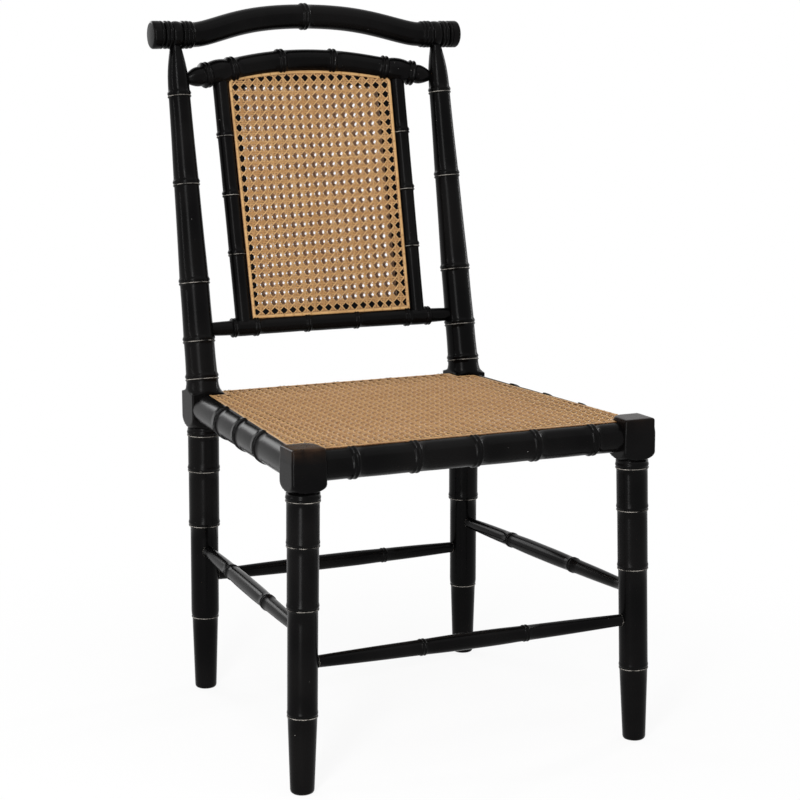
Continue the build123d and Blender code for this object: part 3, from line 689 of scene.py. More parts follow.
@dataclass(frozen=True)
class Stick:
    """Turned stick of a leg.

    Attributes:
        shares: Places of its nodes from the foot up, as shares of its length.
        rings: Radii of their ridges, as shares of the uppermost one's.
        radius: Radius of the uppermost ridge.
        foot: Radius of the foot.
        rise: How far ridges stand out.
        node_half: Half length of a node.
    """

    shares: tuple[float, ...]
    rings: tuple[float, ...]
    radius: float
    foot: float
    rise: float
    node_half: float = 4.9

    def profile(self, length: float, end: float) -> Profile:
        """Profile from the floor to the neck under the block.

        Args:
            length: Length of the axis from the foot to the middle of the block.
            end: Place where the neck ends.

        Returns:
            The profile.
        """
        rings = [self.radius * share for share in self.rings]
        eased = ((-1.0, 3.2, 0.5), (0.9, 1.6, 0.5), (2.4, 0.5, 0.6), (4.6, 0.0, 0.2))
        parts = [[(place, self.foot - less, worn) for place, less, worn in eased]]
        for share, ring, low, high in zip(self.shares, rings, [rings[0], *rings], [*rings[1:], rings[-1]]):
            below, above = (low + ring) / 2 - self.rise, (ring + high) / 2 - self.rise
            parts.append(node(length * share, ring, below, above, self.node_half, lean=1.0))
        return jointed([*parts, [(end, rings[-1] - self.rise + 0.4, 0.0)]], 0.0)


@dataclass(frozen=True)
class Legs:
    """Two legs, each one stick with a square block.

    Attributes:
        node: Name of their CAD nodes, without the side.
        corner: Where they stand.
        stick: Their turned part under the block.
        block: Width of the block.
        low: Height of the block's lower edge.
        top: Height of its upper edge.
        neck: Depth under the lower edge and radius of each ring that runs out into the block.
        stick_drop: How far under the lower edge the stick ends.
    """

    node: str
    corner: Corner
    stick: Stick
    block: float
    low: float
    top: float
    neck: tuple[tuple[float, float], ...]
    stick_drop: float = 11.5

    def necked(self, square: Points) -> list[tuple[float, Points, float]]:
        """Height, radii and rub of the rings from the neck to the block."""
        return [(self.low - drop, np.minimum(square, reach), 0.0) for drop, reach in self.neck]

    def block_rings(self, side: Side) -> list[tuple[float, Points, float]]:
        """Height, radii and rub of the block's rings, from the neck up; front and rear legs give their own."""
        raise NotImplementedError

    def above(self, side: Side) -> list[tuple[Points, float, float]]:
        """Points, wear and rub of the rings above the block, where there are any."""
        return []

    def build(self) -> None:
        """Builds both legs."""
        for side in Side:
            foot, head = self.corner.foot(side), self.corner.head(side)
            axis, upright = straight(foot, head), straight((head[0], head[1], 0), head)
            profile = self.stick.profile(math.dist(foot, head), self.low - self.stick_drop)
            rings = [(section(axis, place, radius, CORNERED), worn, 0.0) for place, radius, worn in profile]
            for height, radii, rubbed in self.block_rings(side):
                rings.append((section(upright, height, radii, CORNERED), edge_wear(radii, self.block / 2), rubbed))
            rings += self.above(side)
            points, wear, rub = zip(*rings)
            points, blank = np.array(points), np.zeros(len(CORNERED))
            points[..., 2] = np.maximum(points[..., 2], 0.0)
            wear, rub = ([blank + amount for amount in amounts] for amounts in (wear, rub))
            shape = Shape()
            shape.skin(points, wear=np.array(wear), rub=np.array(rub))
            name = f"{self.node}_{side.word}"
            shape.piece(f"{name}_turned", BLACK, name)


@dataclass(frozen=True)
class FrontLegs(Legs):
    """Two front legs, whose blocks are their heads."""

    node: str = "front_leg"
    corner: Corner = FRONT
    stick: Stick = Stick((0.245, 0.5755, 0.768, 0.905), (0.888, 0.935, 0.961, 1.0), 23.7, 16.5, 1.1)
    block: float = 49.8
    low: float = 419.0
    top: float = 469.5
    neck: tuple[tuple[float, float], ...] = (
        (9.0, 21.7), (8.3, 22.8), (7.2, 25.2), (5.6, 28.0), (3.6, 30.4), (1.2, 32.2), (-1.8, 33.6), (-5.0, 34.6),
    )
    board_low: float = 448.9
    draw_in: float = 0.8
    side_round: float = 4.0
    inner_round: float = 20.0
    edge_round: float = 3.6
    top_share: float = 0.55

    def block_rings(self, side: Side) -> list[tuple[float, Points, float]]:
        """Rings of a block whose inner corner is round above the seat board, and whose top is rubbed on the left.

        Args:
            side: Side of the leg.

        Returns:
            Height, radii and rub of each ring.
        """
        half, above = self.block / 2, [self.side_round] * 4
        square = square_radii(half, above)
        above[1 if side is Side.RIGHT else 0] = self.inner_round
        rubbed = 1.0 if side is Side.LEFT else 0.2
        rings = self.necked(square)
        rings += [(self.low + 10.0, square, 0.0), (self.board_low, square, 0.0)]
        rings.append((self.board_low, square_radii(half, above), 0.0))
        half -= self.draw_in
        rings.append((self.board_low + 8.0, square_radii(half, above), 0.1 * rubbed))
        for angle in np.radians(range(0, 91, 18)):
            draw = self.edge_round * (1 - math.cos(angle))
            rounds = [max(bend - draw, 0.6) for bend in above]
            z = self.top - self.edge_round * (1 - math.sin(angle))
            rings.append((z, square_radii(half - draw, rounds), (0.35 + 0.65 * math.sin(angle)) * rubbed))
        last = square_radii(half * self.top_share, [self.top_share * bend for bend in above])
        return [*rings, (self.top - 0.05, last, rubbed)]


@dataclass(frozen=True)
class RearPosts(Legs):
    """Two rear posts, whose raked turned upper parts stand on the blocks."""

    node: str = "rear_post"
    corner: Corner = REAR
    stick: Stick = Stick((0.263, 0.591, 0.784, 0.909), (0.836, 0.959, 0.984, 1.0), 25.0, 16.5, 1.2)
    block: float = 51.0
    low: float = 421.0
    top: float = 465.5
    neck: tuple[tuple[float, float], ...] = (
        (9.0, 23.2), (8.4, 24.4), (7.2, 26.4), (5.2, 28.9), (2.6, 31.2), (0.0, 33.0), (-3.0, 34.4), (-7.0, 35.6),
    )
    cove: tuple[tuple[float, float], ...] = (
        (-1.6, 36.0), (-0.5, 35.2), (0.3, 33.4), (0.9, 31.2), (1.8, 29.0), (3.0, 27.3), (4.6, 26.1),
    )
    edge: float = 2.2
    root: tuple[Place, ...] = ((2.0, 25.6, 0.0), (4.6, 25.0, 0.0), (7.2, 24.5, 0.0), (10.0, 24.3, 0.0))
    post_radius: float = 25.5
    post_shares: tuple[float, ...] = (0.0316, 0.1376, 0.3017, 0.580, 0.830)
    post_rings: tuple[float, ...] = (1.0, 0.973, 0.934, 0.813, 0.712)
    post_rise: float = 1.7
    node_half: float = 5.2
    hollow: float = -0.25
    neck_radius: float = 9.5
    neck_share: float = 0.958
    neck_swell: float = 1.7
    past_axis: float = 4.0
    level_to: float = 4.0
    turned_by: float = 14.0

    def block_rings(self, side: Side) -> list[tuple[float, Points, float]]:
        """Rings of a block with a cove at both ends.

        Args:
            side: Side of the post.

        Returns:
            Height, radii and rub of each ring.
        """
        square = square_radii(self.block / 2, [self.edge] * 4)
        rings = self.necked(square) + [(z, square, 0.0) for z in (self.low + 9.0, self.top - 4.0)]
        return rings + [(self.top + rise, np.minimum(square, reach), 0.0) for rise, reach in self.cove]

    def post(self, length: float) -> Profile:
        """Profile of the raked post, from the knee to the end of its tenon.

        Args:
            length: Length of its axis.

        Returns:
            The profile.
        """
        parts = []
        for share, part in zip(self.post_shares, self.post_rings):
            ring = self.post_radius * part
            plain = ring - self.post_rise
            parts.append(node(length * share, ring, plain, plain, self.node_half, lean=1.0))
        profile = jointed([[*self.root, *parts[0][1:]], *parts[1:]], self.hollow)
        start, neck = profile[-1][0], length * self.neck_share
        for share in (0.08, 0.2, 0.35, 0.5, 0.65, 0.8, 0.92, 1.0):
            radius = plain + (self.neck_radius - plain) * share + self.neck_swell * math.sin(math.pi * share)
            profile.append((start + (neck - start) * share, radius, 0.0))
        return [*profile, (length + self.past_axis, self.neck_radius, 0.0)]

    def above(self, side: Side) -> list[tuple[Points, float, float]]:
        """Rings of the raked post, level where it leaves the block.

        Args:
            side: Side of the post.

        Returns:
            Points, wear and rub of each ring.
        """
        knee, top = post_ends(side)
        path, rings = straight(knee, top), []
        for place, radius, worn in self.post(math.dist(knee, top)):
            level = 1 - min(max((place - self.level_to) / (self.turned_by - self.level_to), 0.0), 1.0)
            rings.append((section(path, place, radius, CORNERED, level), worn, 0.0))
        return rings


# Seat rails and stretchers
@dataclass(frozen=True)
class SeatRail:
    """Turned seat rail, round outside and below, and cut away above its inner part for the seat.

    Attributes:
        name: Name of the CAD node.
        start: Middle of the block where it starts.
        end: Middle of the block where it ends.
        trims: How far from each block's middle it ends.
        count: Number of nodes.
        pitch: Distance between nodes.
        radius: Radius of the plain stretches.
        outset: How far outside the axis the cut starts where the rail starts.
        rise: How far ridges stand out.
        ledge: Height of the cut above the axis.
        swell: How much thicker plain stretches are in their middle.
    """

    name: str
    start: Place
    end: Place
    trims: tuple[float, float]
    count: int
    pitch: float
    radius: float
    outset: float = 0.0
    rise: float = 2.0
    ledge: float = 6.9
    swell: float = 0.25

    def ring(self, centre: Points, radius: float, inward: Points, outset: float) -> Points:
        """Section of the rail.

        Args:
            centre: Point of the axis.
            radius: Radius there.
            inward: Level direction to the middle of the seat.
            outset: How far outside the axis the cut starts.

        Returns:
            The points.
        """
        angles = np.linspace(math.asin(self.ledge / radius), -1.5 * math.pi + math.asin(outset / radius), 50)
        arc = centre + radius * (np.cos(angles)[:, None] * inward + np.sin(angles)[:, None] * UP)
        return np.concatenate([arc, [centre + self.ledge * UP - outset * inward]])

    def build(self) -> None:
        """Builds the rail."""
        length, path = math.dist(self.start, self.end), straight(self.start, self.end)
        parts = [[(self.trims[0], self.radius, 0.0)]]
        for number in range(self.count):
            place = length / 2 + (number - (self.count - 1) / 2) * self.pitch
            parts.append(node(place, self.radius + self.rise, self.radius, self.radius))
        profile = jointed([*parts, [(length - self.trims[1], self.radius, 0.0)]], self.swell)
        inward = unit(np.cross(UP, path(0)[1]))
        inward *= math.copysign(1, np.dot(np.array([0, SEAT_MIDDLE, RAIL_Z]) - path(length / 2)[0], inward))
        rings = []
        for place, reach, _ in profile:
            rings.append(self.ring(path(place)[0], reach, inward, self.outset * (1 - place / length)))
        shape = Shape()
        shape.skin(np.array(rings), wear=wear_of(profile, len(rings[0])))
        shape.piece(f"{self.name}_turned", BLACK, self.name)


@dataclass(frozen=True)
class SeatRails:
    """Four turned seat rails."""

    radius: float = 20.7
    side_radius: float = 23.2
    front_trim: float = 9.4
    rear_trim: float = 11.5
    cross_pitch: float = 90.0
    side_pitch: float = 94.0
    outset: float = 9.4

    def build(self) -> None:
        """Builds the rails."""
        for corner, word, trim in ((FRONT, "front", self.front_trim), (REAR, "rear", self.rear_trim)):
            ends = (corner.head(Side.LEFT), corner.head(Side.RIGHT))
            SeatRail(f"seat_rail_{word}", *ends, (trim, trim), 5, self.cross_pitch, self.radius).build()
        for side in Side:
            ends, trims = (FRONT.head(side), REAR.head(side)), (self.front_trim, self.rear_trim)
            name = f"seat_rail_{side.word}"
            SeatRail(name, *ends, trims, 3, self.side_pitch, self.side_radius, self.outset).build()


@dataclass(frozen=True)
class Stretchers:
    """Four turned stretchers between the legs, thinner towards their ends."""

    side_z: float = 220.5
    cross_z: float = 177.5
    side_node: float = 88.0
    cross_node: float = 79.0
    radius: float = 10.7
    end_radius: float = 8.3
    middle_radius: float = 11.7
    rise: float = 1.2
    node_half: float = 4.8
    swell: float = 0.35
    inside: float = 9.0
    rim: float = 21.0

    def build(self) -> None:
        """Builds the four stretchers."""
        for word, corner in (("front", FRONT), ("rear", REAR)):
            ends = [corner.leg_at(side, self.cross_z) for side in Side]
            self.stretcher(f"stretcher_{word}", *ends, self.cross_node)
        for side in Side:
            ends = [corner.leg_at(side, self.side_z) for corner in (FRONT, REAR)]
            self.stretcher(f"stretcher_{side.word}", *ends, self.side_node)

    def stretcher(self, name: str, low: Points, high: Points, place: float) -> None:
        """Builds one stretcher.

        Args:
            name: Name of the CAD node.
            low: Point of one leg's axis.
            high: Point of the other leg's axis.
            place: Distance of its nodes from its middle.
        """
        half, end = math.dist(low, high) / 2, self.end_radius
        rim = half - self.rim
        parts = [
            [(0.0, self.middle_radius, 0.0)],
            node(place, self.radius + self.rise, self.radius + 0.1, self.radius, self.node_half),
            [(rim - 0.9, end, 0.0), (rim, end + 0.5, 1.0)],
            [(rim + 1.4, end + 0.3, 0.8), (half - self.inside, end, 0.0)],
        ]
        turn(name, straight((low + high) / 2, high), both_ways(jointed(parts, self.swell)[1:]))


# Back frame
@dataclass(frozen=True)
class CrestRail:
    """Crest rail: an arched tube that leans back, with beaded ends and a ring in the middle.

    Attributes:
        beads: For each bead, from the end of the rail inwards: length, fall towards its edges, and width and depth
            of the groove after it.
    """

    half: float = 256.0
    end_radius: float = 21.2
    beaded: float = 66.1
    end_round: float = 3.8
    beads: tuple[tuple[float, float, float, float], ...] = (
        (8.8, 0.2, 0.9, 1.2),
        (3.6, 0.7, 3.0, 5.0),
        (5.0, 0.9, 0.9, 1.5),
        (4.5, 0.9, 1.7, 3.0),
        (13.9, 1.7, 1.7, 3.4),
        (4.8, 0.9, 0.9, 1.5),
        (5.3, 0.9, 0.9, 1.5),
        (5.1, 1.2, 0.0, 0.0),
    )
    tube: float = 18.8
    rise: float = 34.9
    lean: float = math.radians(37.5)
    ring_rise: float = 2.2
    ring_groove: float = 1.3

    def point(self, across: float) -> Points:
        """Point of the axis.

        Args:
            across: Distance from the middle of the chair.

        Returns:
            The point.
        """
        share = min(abs(across) / (self.half - self.beaded), 1.0)
        lift = self.rise * (1 - share**2) ** 1.8 * (1 + 0.95 * share**2)
        return np.array([across, CREST_Y + lift * math.sin(self.lean), CREST_Z + lift * math.cos(self.lean)])

    def end_profile(self) -> Profile:
        """Half profile of the turned end, from the tube outwards."""
        profile, place = [], self.end_round
        for angle in np.radians((0, 22, 45, 68, 90)):
            profile.append((place * (1 - math.cos(angle)), self.end_radius - place * (1 - math.sin(angle)), 0.15))
        for length, sunk, groove, depth in self.beads:
            top = self.end_radius - (0.5 if sunk > 1 else 0.0)
            for share in (0.0, 0.1, 0.25, 0.5, 0.75, 0.9, 1.0):
                worn = 0.34 if share == 0.1 and sunk < 1 else 0.0
                profile.append((place + share * length, top - sunk * abs(2 * share - 1) ** 2.4, worn))
            place += length
            if groove:
                profile += [(place + groove * share, self.end_radius - depth, 0.0) for share in (0.3, 0.7)]
            place += groove
        tip = self.half - place
        outwards = [(self.half - inwards, radius, worn) for inwards, radius, worn in reversed(profile)]
        return [(tip - 1.0, self.tube + 0.1, 0.0), (tip - 0.2, self.tube + 0.5, 0.2), *outwards]

    def build(self) -> None:
        """Builds the rail."""
        ring = self.tube + self.ring_rise
        half = [row for row in node(0, ring, self.tube, self.tube) if row[0] > 0]
        half += stretch(half[-1][:2], (self.half - self.beaded - 1.5, self.tube + 0.1), 0.0, 26)
        half += self.end_profile()
        profile = both_ways(half)
        profile.insert(len(half), (0.0, ring - self.ring_groove, 0.4))
        turn("crest_rail", bent(self.point), profile)


@dataclass(frozen=True)
class BackFrame:
    """Inner frame of the back: an arched top rail, a bottom rail and two stiles."""

    bottom_z: float = 557.0
    top_z: float = 957.4
    lean: float = math.radians(44.0)
    end_slope: float = math.radians(13.8)
    stile_x: float = 148.5
    stile_draw_in: float = 2.5
    straight_run: float = 43.0
    tube: float = 16.8
    tube_node: float = 43.4
    tube_rise: float = 2.7
    barrel: float = 17.2
    barrel_swell: float = 2.5
    collar: float = 19.9
    collar_half: float = 6.4
    inner_collar: float = 20.5
    outer_collar: float = 24.0
    acorn_start: float = 6.9
    acorn_gap: float = 14.2
    acorn_tenon: float = 9.0
    acorn_tenon_radius: float = 7.0
    acorn: tuple[tuple[float, float], ...] = (
        (0.0, 14.5), (0.1, 14.9), (0.22, 15.0), (0.36, 14.5), (0.5, 13.5),
        (0.62, 12.3), (0.74, 10.9), (0.85, 9.4), (0.94, 8.1), (1.0, 7.2),
    )
    bottom_bow: float = 4.0
    bottom_middle: float = 13.0
    bottom_plain: float = 12.4
    bottom_barrel: float = 13.5
    bottom_end: float = 10.6
    bottom_node: tuple[float, float, float] = (41.5, 14.3, 12.9)
    bottom_rise: float = 1.5
    bottom_places: tuple[float, float] = (-21.5, 14.5)
    bottom_trims: tuple[float, float] = (17.0, 10.0)
    thin_half: float = 4.8
    stile_radius: float = 11.9
    stile_rise: float = 1.8
    stile_shares: tuple[float, ...] = (0.289, 0.520, 0.752)
    stile_trims: tuple[float, float] = (7.0, 10.0)

    def drop(self, across: float) -> float:
        """How far the arched rail's axis falls in its own plane, first in an arc and then in a straight run.

        Args:
            across: Distance from the middle of the chair, either side.

        Returns:
            The fall.
        """
        arc_x = self.stile_x - self.straight_run
        radius = arc_x / math.sin(self.end_slope)
        if across <= arc_x:
            return radius - math.sqrt(radius**2 - across**2)
        return radius * (1 - math.cos(self.end_slope)) + (across - arc_x) * math.tan(self.end_slope)

    @property
    def post_x(self) -> float:
        """Distance of a post's axis from the middle, at the arched rail."""
        return REAR.x - POST_DRAW_IN * (self.top_z - KNEE_Z) / (CREST_Z - KNEE_Z)

    @property
    def arch_y(self) -> float:
        """Middle of the arched rail, front to back, so that its ends meet the raked posts."""
        drop = self.drop(self.post_x)
        post_z = self.top_z - drop * math.cos(self.lean)
        return REAR.y + (post_z - KNEE_Z) * math.tan(RAKE) + drop * math.sin(self.lean)

    @property
    def bottom_y(self) -> float:
        """Axis of the bottom rail's ends."""
        return REAR.y + (self.bottom_z - KNEE_Z) * math.tan(RAKE)

    def top_point(self, across: float) -> Points:
        """Point of the arched rail's axis."""
        drop, lean = self.drop(abs(across)), self.lean
        return np.array([across, self.arch_y - drop * math.sin(lean), self.top_z - drop * math.cos(lean)])

    def bottom_point(self, across: float) -> Points:
        """Point of the bottom rail's axis, which bows back a little."""
        bow = self.bottom_bow * (1 - min(abs(across) / self.stile_x, 1.0) ** 2) ** 1.5
        return np.array([across, self.bottom_y + bow, self.bottom_z])

    def top_profile(self) -> Profile:
        """Profile of the arched rail's half, with a full barrel between its collars and an acorn end."""
        inner, outer = self.stile_x - self.inner_collar, self.stile_x + self.outer_collar
        parts = [
            [(0.0, self.tube, 0.0)],
            node(self.tube_node, self.tube + self.tube_rise, self.tube, self.tube),
            node(inner, self.collar, self.tube, self.barrel, self.collar_half),
            node(outer, self.collar, self.barrel, self.acorn[0][1] + 0.1, self.collar_half),
        ]
        half = jointed(parts, 0.0)
        low, high = inner + self.collar_half, outer - self.collar_half
        for index, (place, radius, worn) in enumerate(half):
            if low < place < high:
                swell = math.sin(math.pi * (place - low) / (high - low)) ** 0.8
                half[index] = (place, radius + self.barrel_swell * swell, worn)
        start, tip = outer + self.acorn_start, self.post_x - self.acorn_gap
        ends = [(start + (tip - start) * share, radius, 0.0) for share, radius in self.acorn]
        return [*half[1:], *ends, (tip + self.acorn_tenon, self.acorn_tenon_radius, 0.0)]

    def bottom_profile(self) -> Profile:
        """Profile of the bottom rail's half."""
        plain, barrel, end = self.bottom_plain, self.bottom_barrel, self.bottom_end
        ring, (inner, outer), (rim, tip) = barrel + self.bottom_rise, self.bottom_places, self.bottom_trims
        parts = [
            [(0.0, self.bottom_middle, 0.0)],
            node(*self.bottom_node, plain, self.thin_half),
            node(self.stile_x + inner, ring, plain, barrel, self.thin_half),
            node(self.stile_x + outer, ring, barrel, end + 0.6, self.thin_half),
            [(self.post_x - rim, end - 0.6, 0.0), (self.post_x - tip, end - 0.8, 0.0)],
        ]
        return jointed(parts, 0.15)[1:]

    def build(self) -> None:
        """Builds the rails and the stiles."""
        turn("back_top_rail", bent(self.top_point, 1.5), both_ways(self.top_profile()))
        turn("back_bottom_rail", bent(self.bottom_point, 1.5), both_ways(self.bottom_profile()))
        for side in Side:
            base = self.bottom_point(side.value * (self.stile_x - self.stile_draw_in))
            tip = self.top_point(side.value * self.stile_x)
            length, plain = math.dist(base, tip), self.stile_radius
            parts = [[(self.stile_trims[0], plain, 0.0)]]
            for share in self.stile_shares:
                parts.append(node(length * share, plain + self.stile_rise, plain, plain, self.thin_half, lean=1.0))
            parts.append([(length - self.stile_trims[1], plain, 0.0)])
            turn(f"back_stile_{side.word}", straight(base, tip), jointed(parts, -0.15))


# Caning
def inset(outline: Points, distance: float) -> Points:
    """Closed outline drawn in, with mitred corners.

    Args:
        outline: Points in the plane, anticlockwise.
        distance: How far to draw it in.

    Returns:
        The new outline, point for point.
    """
    along = outline - np.roll(outline, 1, axis=0)
    along /= np.linalg.norm(along, axis=1)[:, None]
    left = np.stack([-along[:, 1], along[:, 0]], axis=1)
    after = np.roll(left, -1, axis=0)
    return outline + (left + after) / (1 + (left * after).sum(axis=1))[:, None] * distance


def inside_spans(outline: Points, origin: Points, along: Points) -> list[tuple[float, float]]:
    """Stretches of a line that lie inside an outline.

    Args:
        outline: Closed outline.
        origin: Point of the line.
        along: Direction of the line.

    Returns:
        Start and end of each stretch.
    """
    normal = np.array([-along[1], along[0]])
    start, end = outline, np.roll(outline, -1, axis=0)
    low, high = (start - origin) @ normal, (end - origin) @ normal
    crossing = (low < 0) != (high < 0)
    share = low[crossing] / (low[crossing] - high[crossing])
    hits = start[crossing] + share[:, None] * (end[crossing] - start[crossing])
    places = np.sort((hits - origin) @ along)
    return list(zip(places[::2], places[1::2]))


def repeated(start: float, step: float, knots: Sequence[tuple[float, float]]) -> Knots:
    """Knots that come again at every step.

    Args:
        start: Place where one step starts.
        step: Length of a step.
        knots: Share of the step and height of each knot.

    Returns:
        Function that gives places and heights of the knots, from before one place to after another.
    """
    shares, heights = np.array(knots).T

    def between(low: float, high: float) -> tuple[Points, Points]:
        """Places and heights between two places."""
        cells = np.arange(math.floor((low - start) / step) - 1, math.ceil((high - start) / step) + 2)
        return (start + (cells[:, None] + shares) * step).ravel(), np.tile(heights, len(cells))

    return between


@dataclass(frozen=True)
class Strand:
    """Kind of strand: its width and how dark it may be, paired strands being darker as painted shade."""

    width: float
    tones_and_shade: tuple[float, float]


# Paired strands lie under the slanting ones and get darker tones, slanting ones paler tones: painted shade and light
# on top of random tone.
PAIRED = Strand(2.15, (0.45, 1.0))
SLANTING = Strand(1.85, (0.0, 0.30))
# Shares of a strand's half width and half thickness round its section, and how far each point is from the skin
# The cane finish darkens points that lie away from the crown, as painted shade.
STRAND_SECTION = ((-1.0, -1.0, 2), (-1.0, 0.1, 1), (0.0, 1.0, 0), (1.0, 0.1, 1), (1.0, -1.0, 2))


@dataclass
class Weave:
    """Six-way caning: upright pairs, level pairs and two sets of slanting strands.

    Attributes:
        outline: Closed outline that ends the strands.
        surface: Turns places in the plane and heights into points.
        first: Place of one hole.
        pitch: Distance between holes, across and up.
        facing: 1 where the skin of the cane faces forwards or up, otherwise -1.
        random: Source of small faults.
        broader: How much broader than usual the strands are.
        thickness: Thickness of a strand.
        pair_halves: Half the distance between the strands of upright and of level pairs.
        lift: How far paired strands rise and fall where they cross.
        slant_lift: How far slanting strands rise and fall.
        roll: How far the strands of a level pair rise and fall beside a hole.
        wander: How far strands sway.
        sway_rate: Least rate of swaying and how much faster it may be.
        offset: How far strands usually lie beside their lines.
        spread: How much strands usually differ in width.
        beside: Share of the pitch on each side of a hole where a paired strand runs level.
        slant_beside: Share of the distance between holes on each side of a crossing where a slanting strand does.
        shortest: Length under which a strand is left out.
        clear: Length at the ends of a strand without knots.
    """

    outline: Points
    surface: Surface
    first: tuple[float, float]
    pitch: tuple[float, float]
    facing: int
    random: np.random.Generator
    broader: float = 0.0
    thickness: float = 0.75
    pair_halves: tuple[float, float] = (1.18, 1.26)
    lift: float = 0.40
    slant_lift: float = 0.78
    roll: float = 0.0
    wander: float = 0.16
    sway_rate: tuple[float, float] = (0.012, 0.02)
    offset: float = 0.1
    spread: float = 0.05
    beside: float = 0.16
    slant_beside: float = 0.135
    shortest: float = 4.0
    clear: float = 0.4
    shape: Shape = field(default_factory=Shape)

    def strand(self, kind: Strand, origin: Points, along: Points, knots: Knots) -> None:
        """Adds the stretches of one line that lie inside the outline.

        Args:
            kind: Kind of strand.
            origin: Point of the line.
            along: Direction of the line.
            knots: Gives places and heights between two places.
        """
        for low, high in inside_spans(self.outline, origin, along):
            if high - low < self.shortest:
                continue
            places, heights = knots(low, high)
            keep = (places > low + self.clear) & (places < high - self.clear)
            ends = np.interp([low, high], places, heights)
            places = np.concatenate([[low], places[keep], [high]])
            heights = np.concatenate([ends[:1], heights[keep], ends[1:]])
            self.ribbon(kind, places, heights, origin, along)

    def ribbon(self, kind: Strand, places: Points, heights: Points, origin: Points, along: Points) -> None:
        """Adds one strand, with its own tone (random within its kind's range, which holds painted shade), sway and
        width.

        Args:
            kind: Kind of strand.
            places: Places along the strand.
            heights: Heights of its middle there.
            origin: Point of its line.
            along: Direction of its line.
        """
        random, aside, (slowest, faster) = self.random, np.array([-along[1], along[0]]), self.sway_rate
        tone, phase, rate = random.uniform(*kind.tones_and_shade), random.random() * 6.28, slowest + faster * random.random()
        sway = self.wander * np.sin(places * rate * 3 + phase) + random.normal(0, self.offset)
        half = (kind.width + self.broader) * (1 + random.normal(0, self.spread)) / 2
        thick = self.thickness / 2
        middle = origin + places[:, None] * along + sway[:, None] * aside
        rings, fibres = [], []
        for off, rise, skin in STRAND_SECTION:
            flat = middle + off * half * aside
            rings.append(self.surface(flat[:, 0], flat[:, 1], self.facing * (heights + rise * thick)))
            fibres.append(np.stack([np.full_like(places, skin), places, np.full_like(places, tone)], axis=1))
        self.shape.skin(np.stack(rings, axis=1), fibre=np.stack(fibres, axis=1))

    def pairs(self, axis: int, numbers: range) -> None:
        """Adds pairs, whose strands pass over one and under the other strand of each pair that they cross.

        Args:
            axis: 0 for upright pairs, 1 for level ones.
            numbers: Numbers of the holes' rows that they run beside.
        """
        other = 1 - axis
        step, along, gap = self.pitch[other], np.eye(2)[other], self.pair_halves[other] / self.pitch[other]
        for number in numbers:
            for sign in (-1, 1):
                origin = np.zeros(2)
                origin[axis] = self.first[axis] + (number + 0.5) * self.pitch[axis] + sign * self.pair_halves[axis]
                rise, lift = axis * self.roll * sign, (other - axis) * self.lift * sign
                knots = ((-self.beside, rise), (self.beside, rise), (0.5 - gap, -lift), (0.5 + gap, lift))
                self.strand(PAIRED, origin, along, repeated(self.first[other], step, knots))

    def build(self, name: str) -> None:
        """Weaves all strands into the piece that stands for a CAD node, with a slanting strand by each hole.

        Args:
            name: Name of the node.
        """
        numbers = []
        for start, step, spread in zip(self.first, self.pitch, self.outline.T):
            low, high = (spread.min() - start) / step, (spread.max() - start) / step
            numbers.append(range(math.floor(low) - 1, math.ceil(high) + 1))
        for axis, row in enumerate(numbers):
            self.pairs(axis, row)
        (across, up), length, (columns, rows) = self.pitch, math.hypot(*self.pitch), numbers
        for way in (1, -1):
            over, run = way * self.slant_lift, self.slant_beside
            knots = repeated(0.0, length, ((-run, over), (run, over), (0.5 - run, -over), (0.5 + run, -over)))
            offsets = [column + way * row for column in (columns[0], columns[-1]) for row in (rows[0], rows[-1])]
            for number in range(min(offsets), max(offsets) + 1):
                origin = np.array([self.first[0] + (number + 0.5) * across, self.first[1]])
                self.strand(SLANTING, origin, np.array([across, -way * up]) / length, knots)
        self.shape.piece(f"{name}_woven", Cane(), name)


# Distance in from the rim and height of each line of a binding, and the same across a loop of fine cane
BINDING_SECTION = ((0.0, 0.0), (0.25, 0.75), (1.2, 1.08), (2.75, 1.2), (4.3, 1.08), (5.25, 0.75), (5.5, 0.0))
LOOP_SECTION = ((-0.85, -0.2), (-0.8, 0.05), (0.0, 0.25), (0.8, 0.05), (0.85, -0.2))


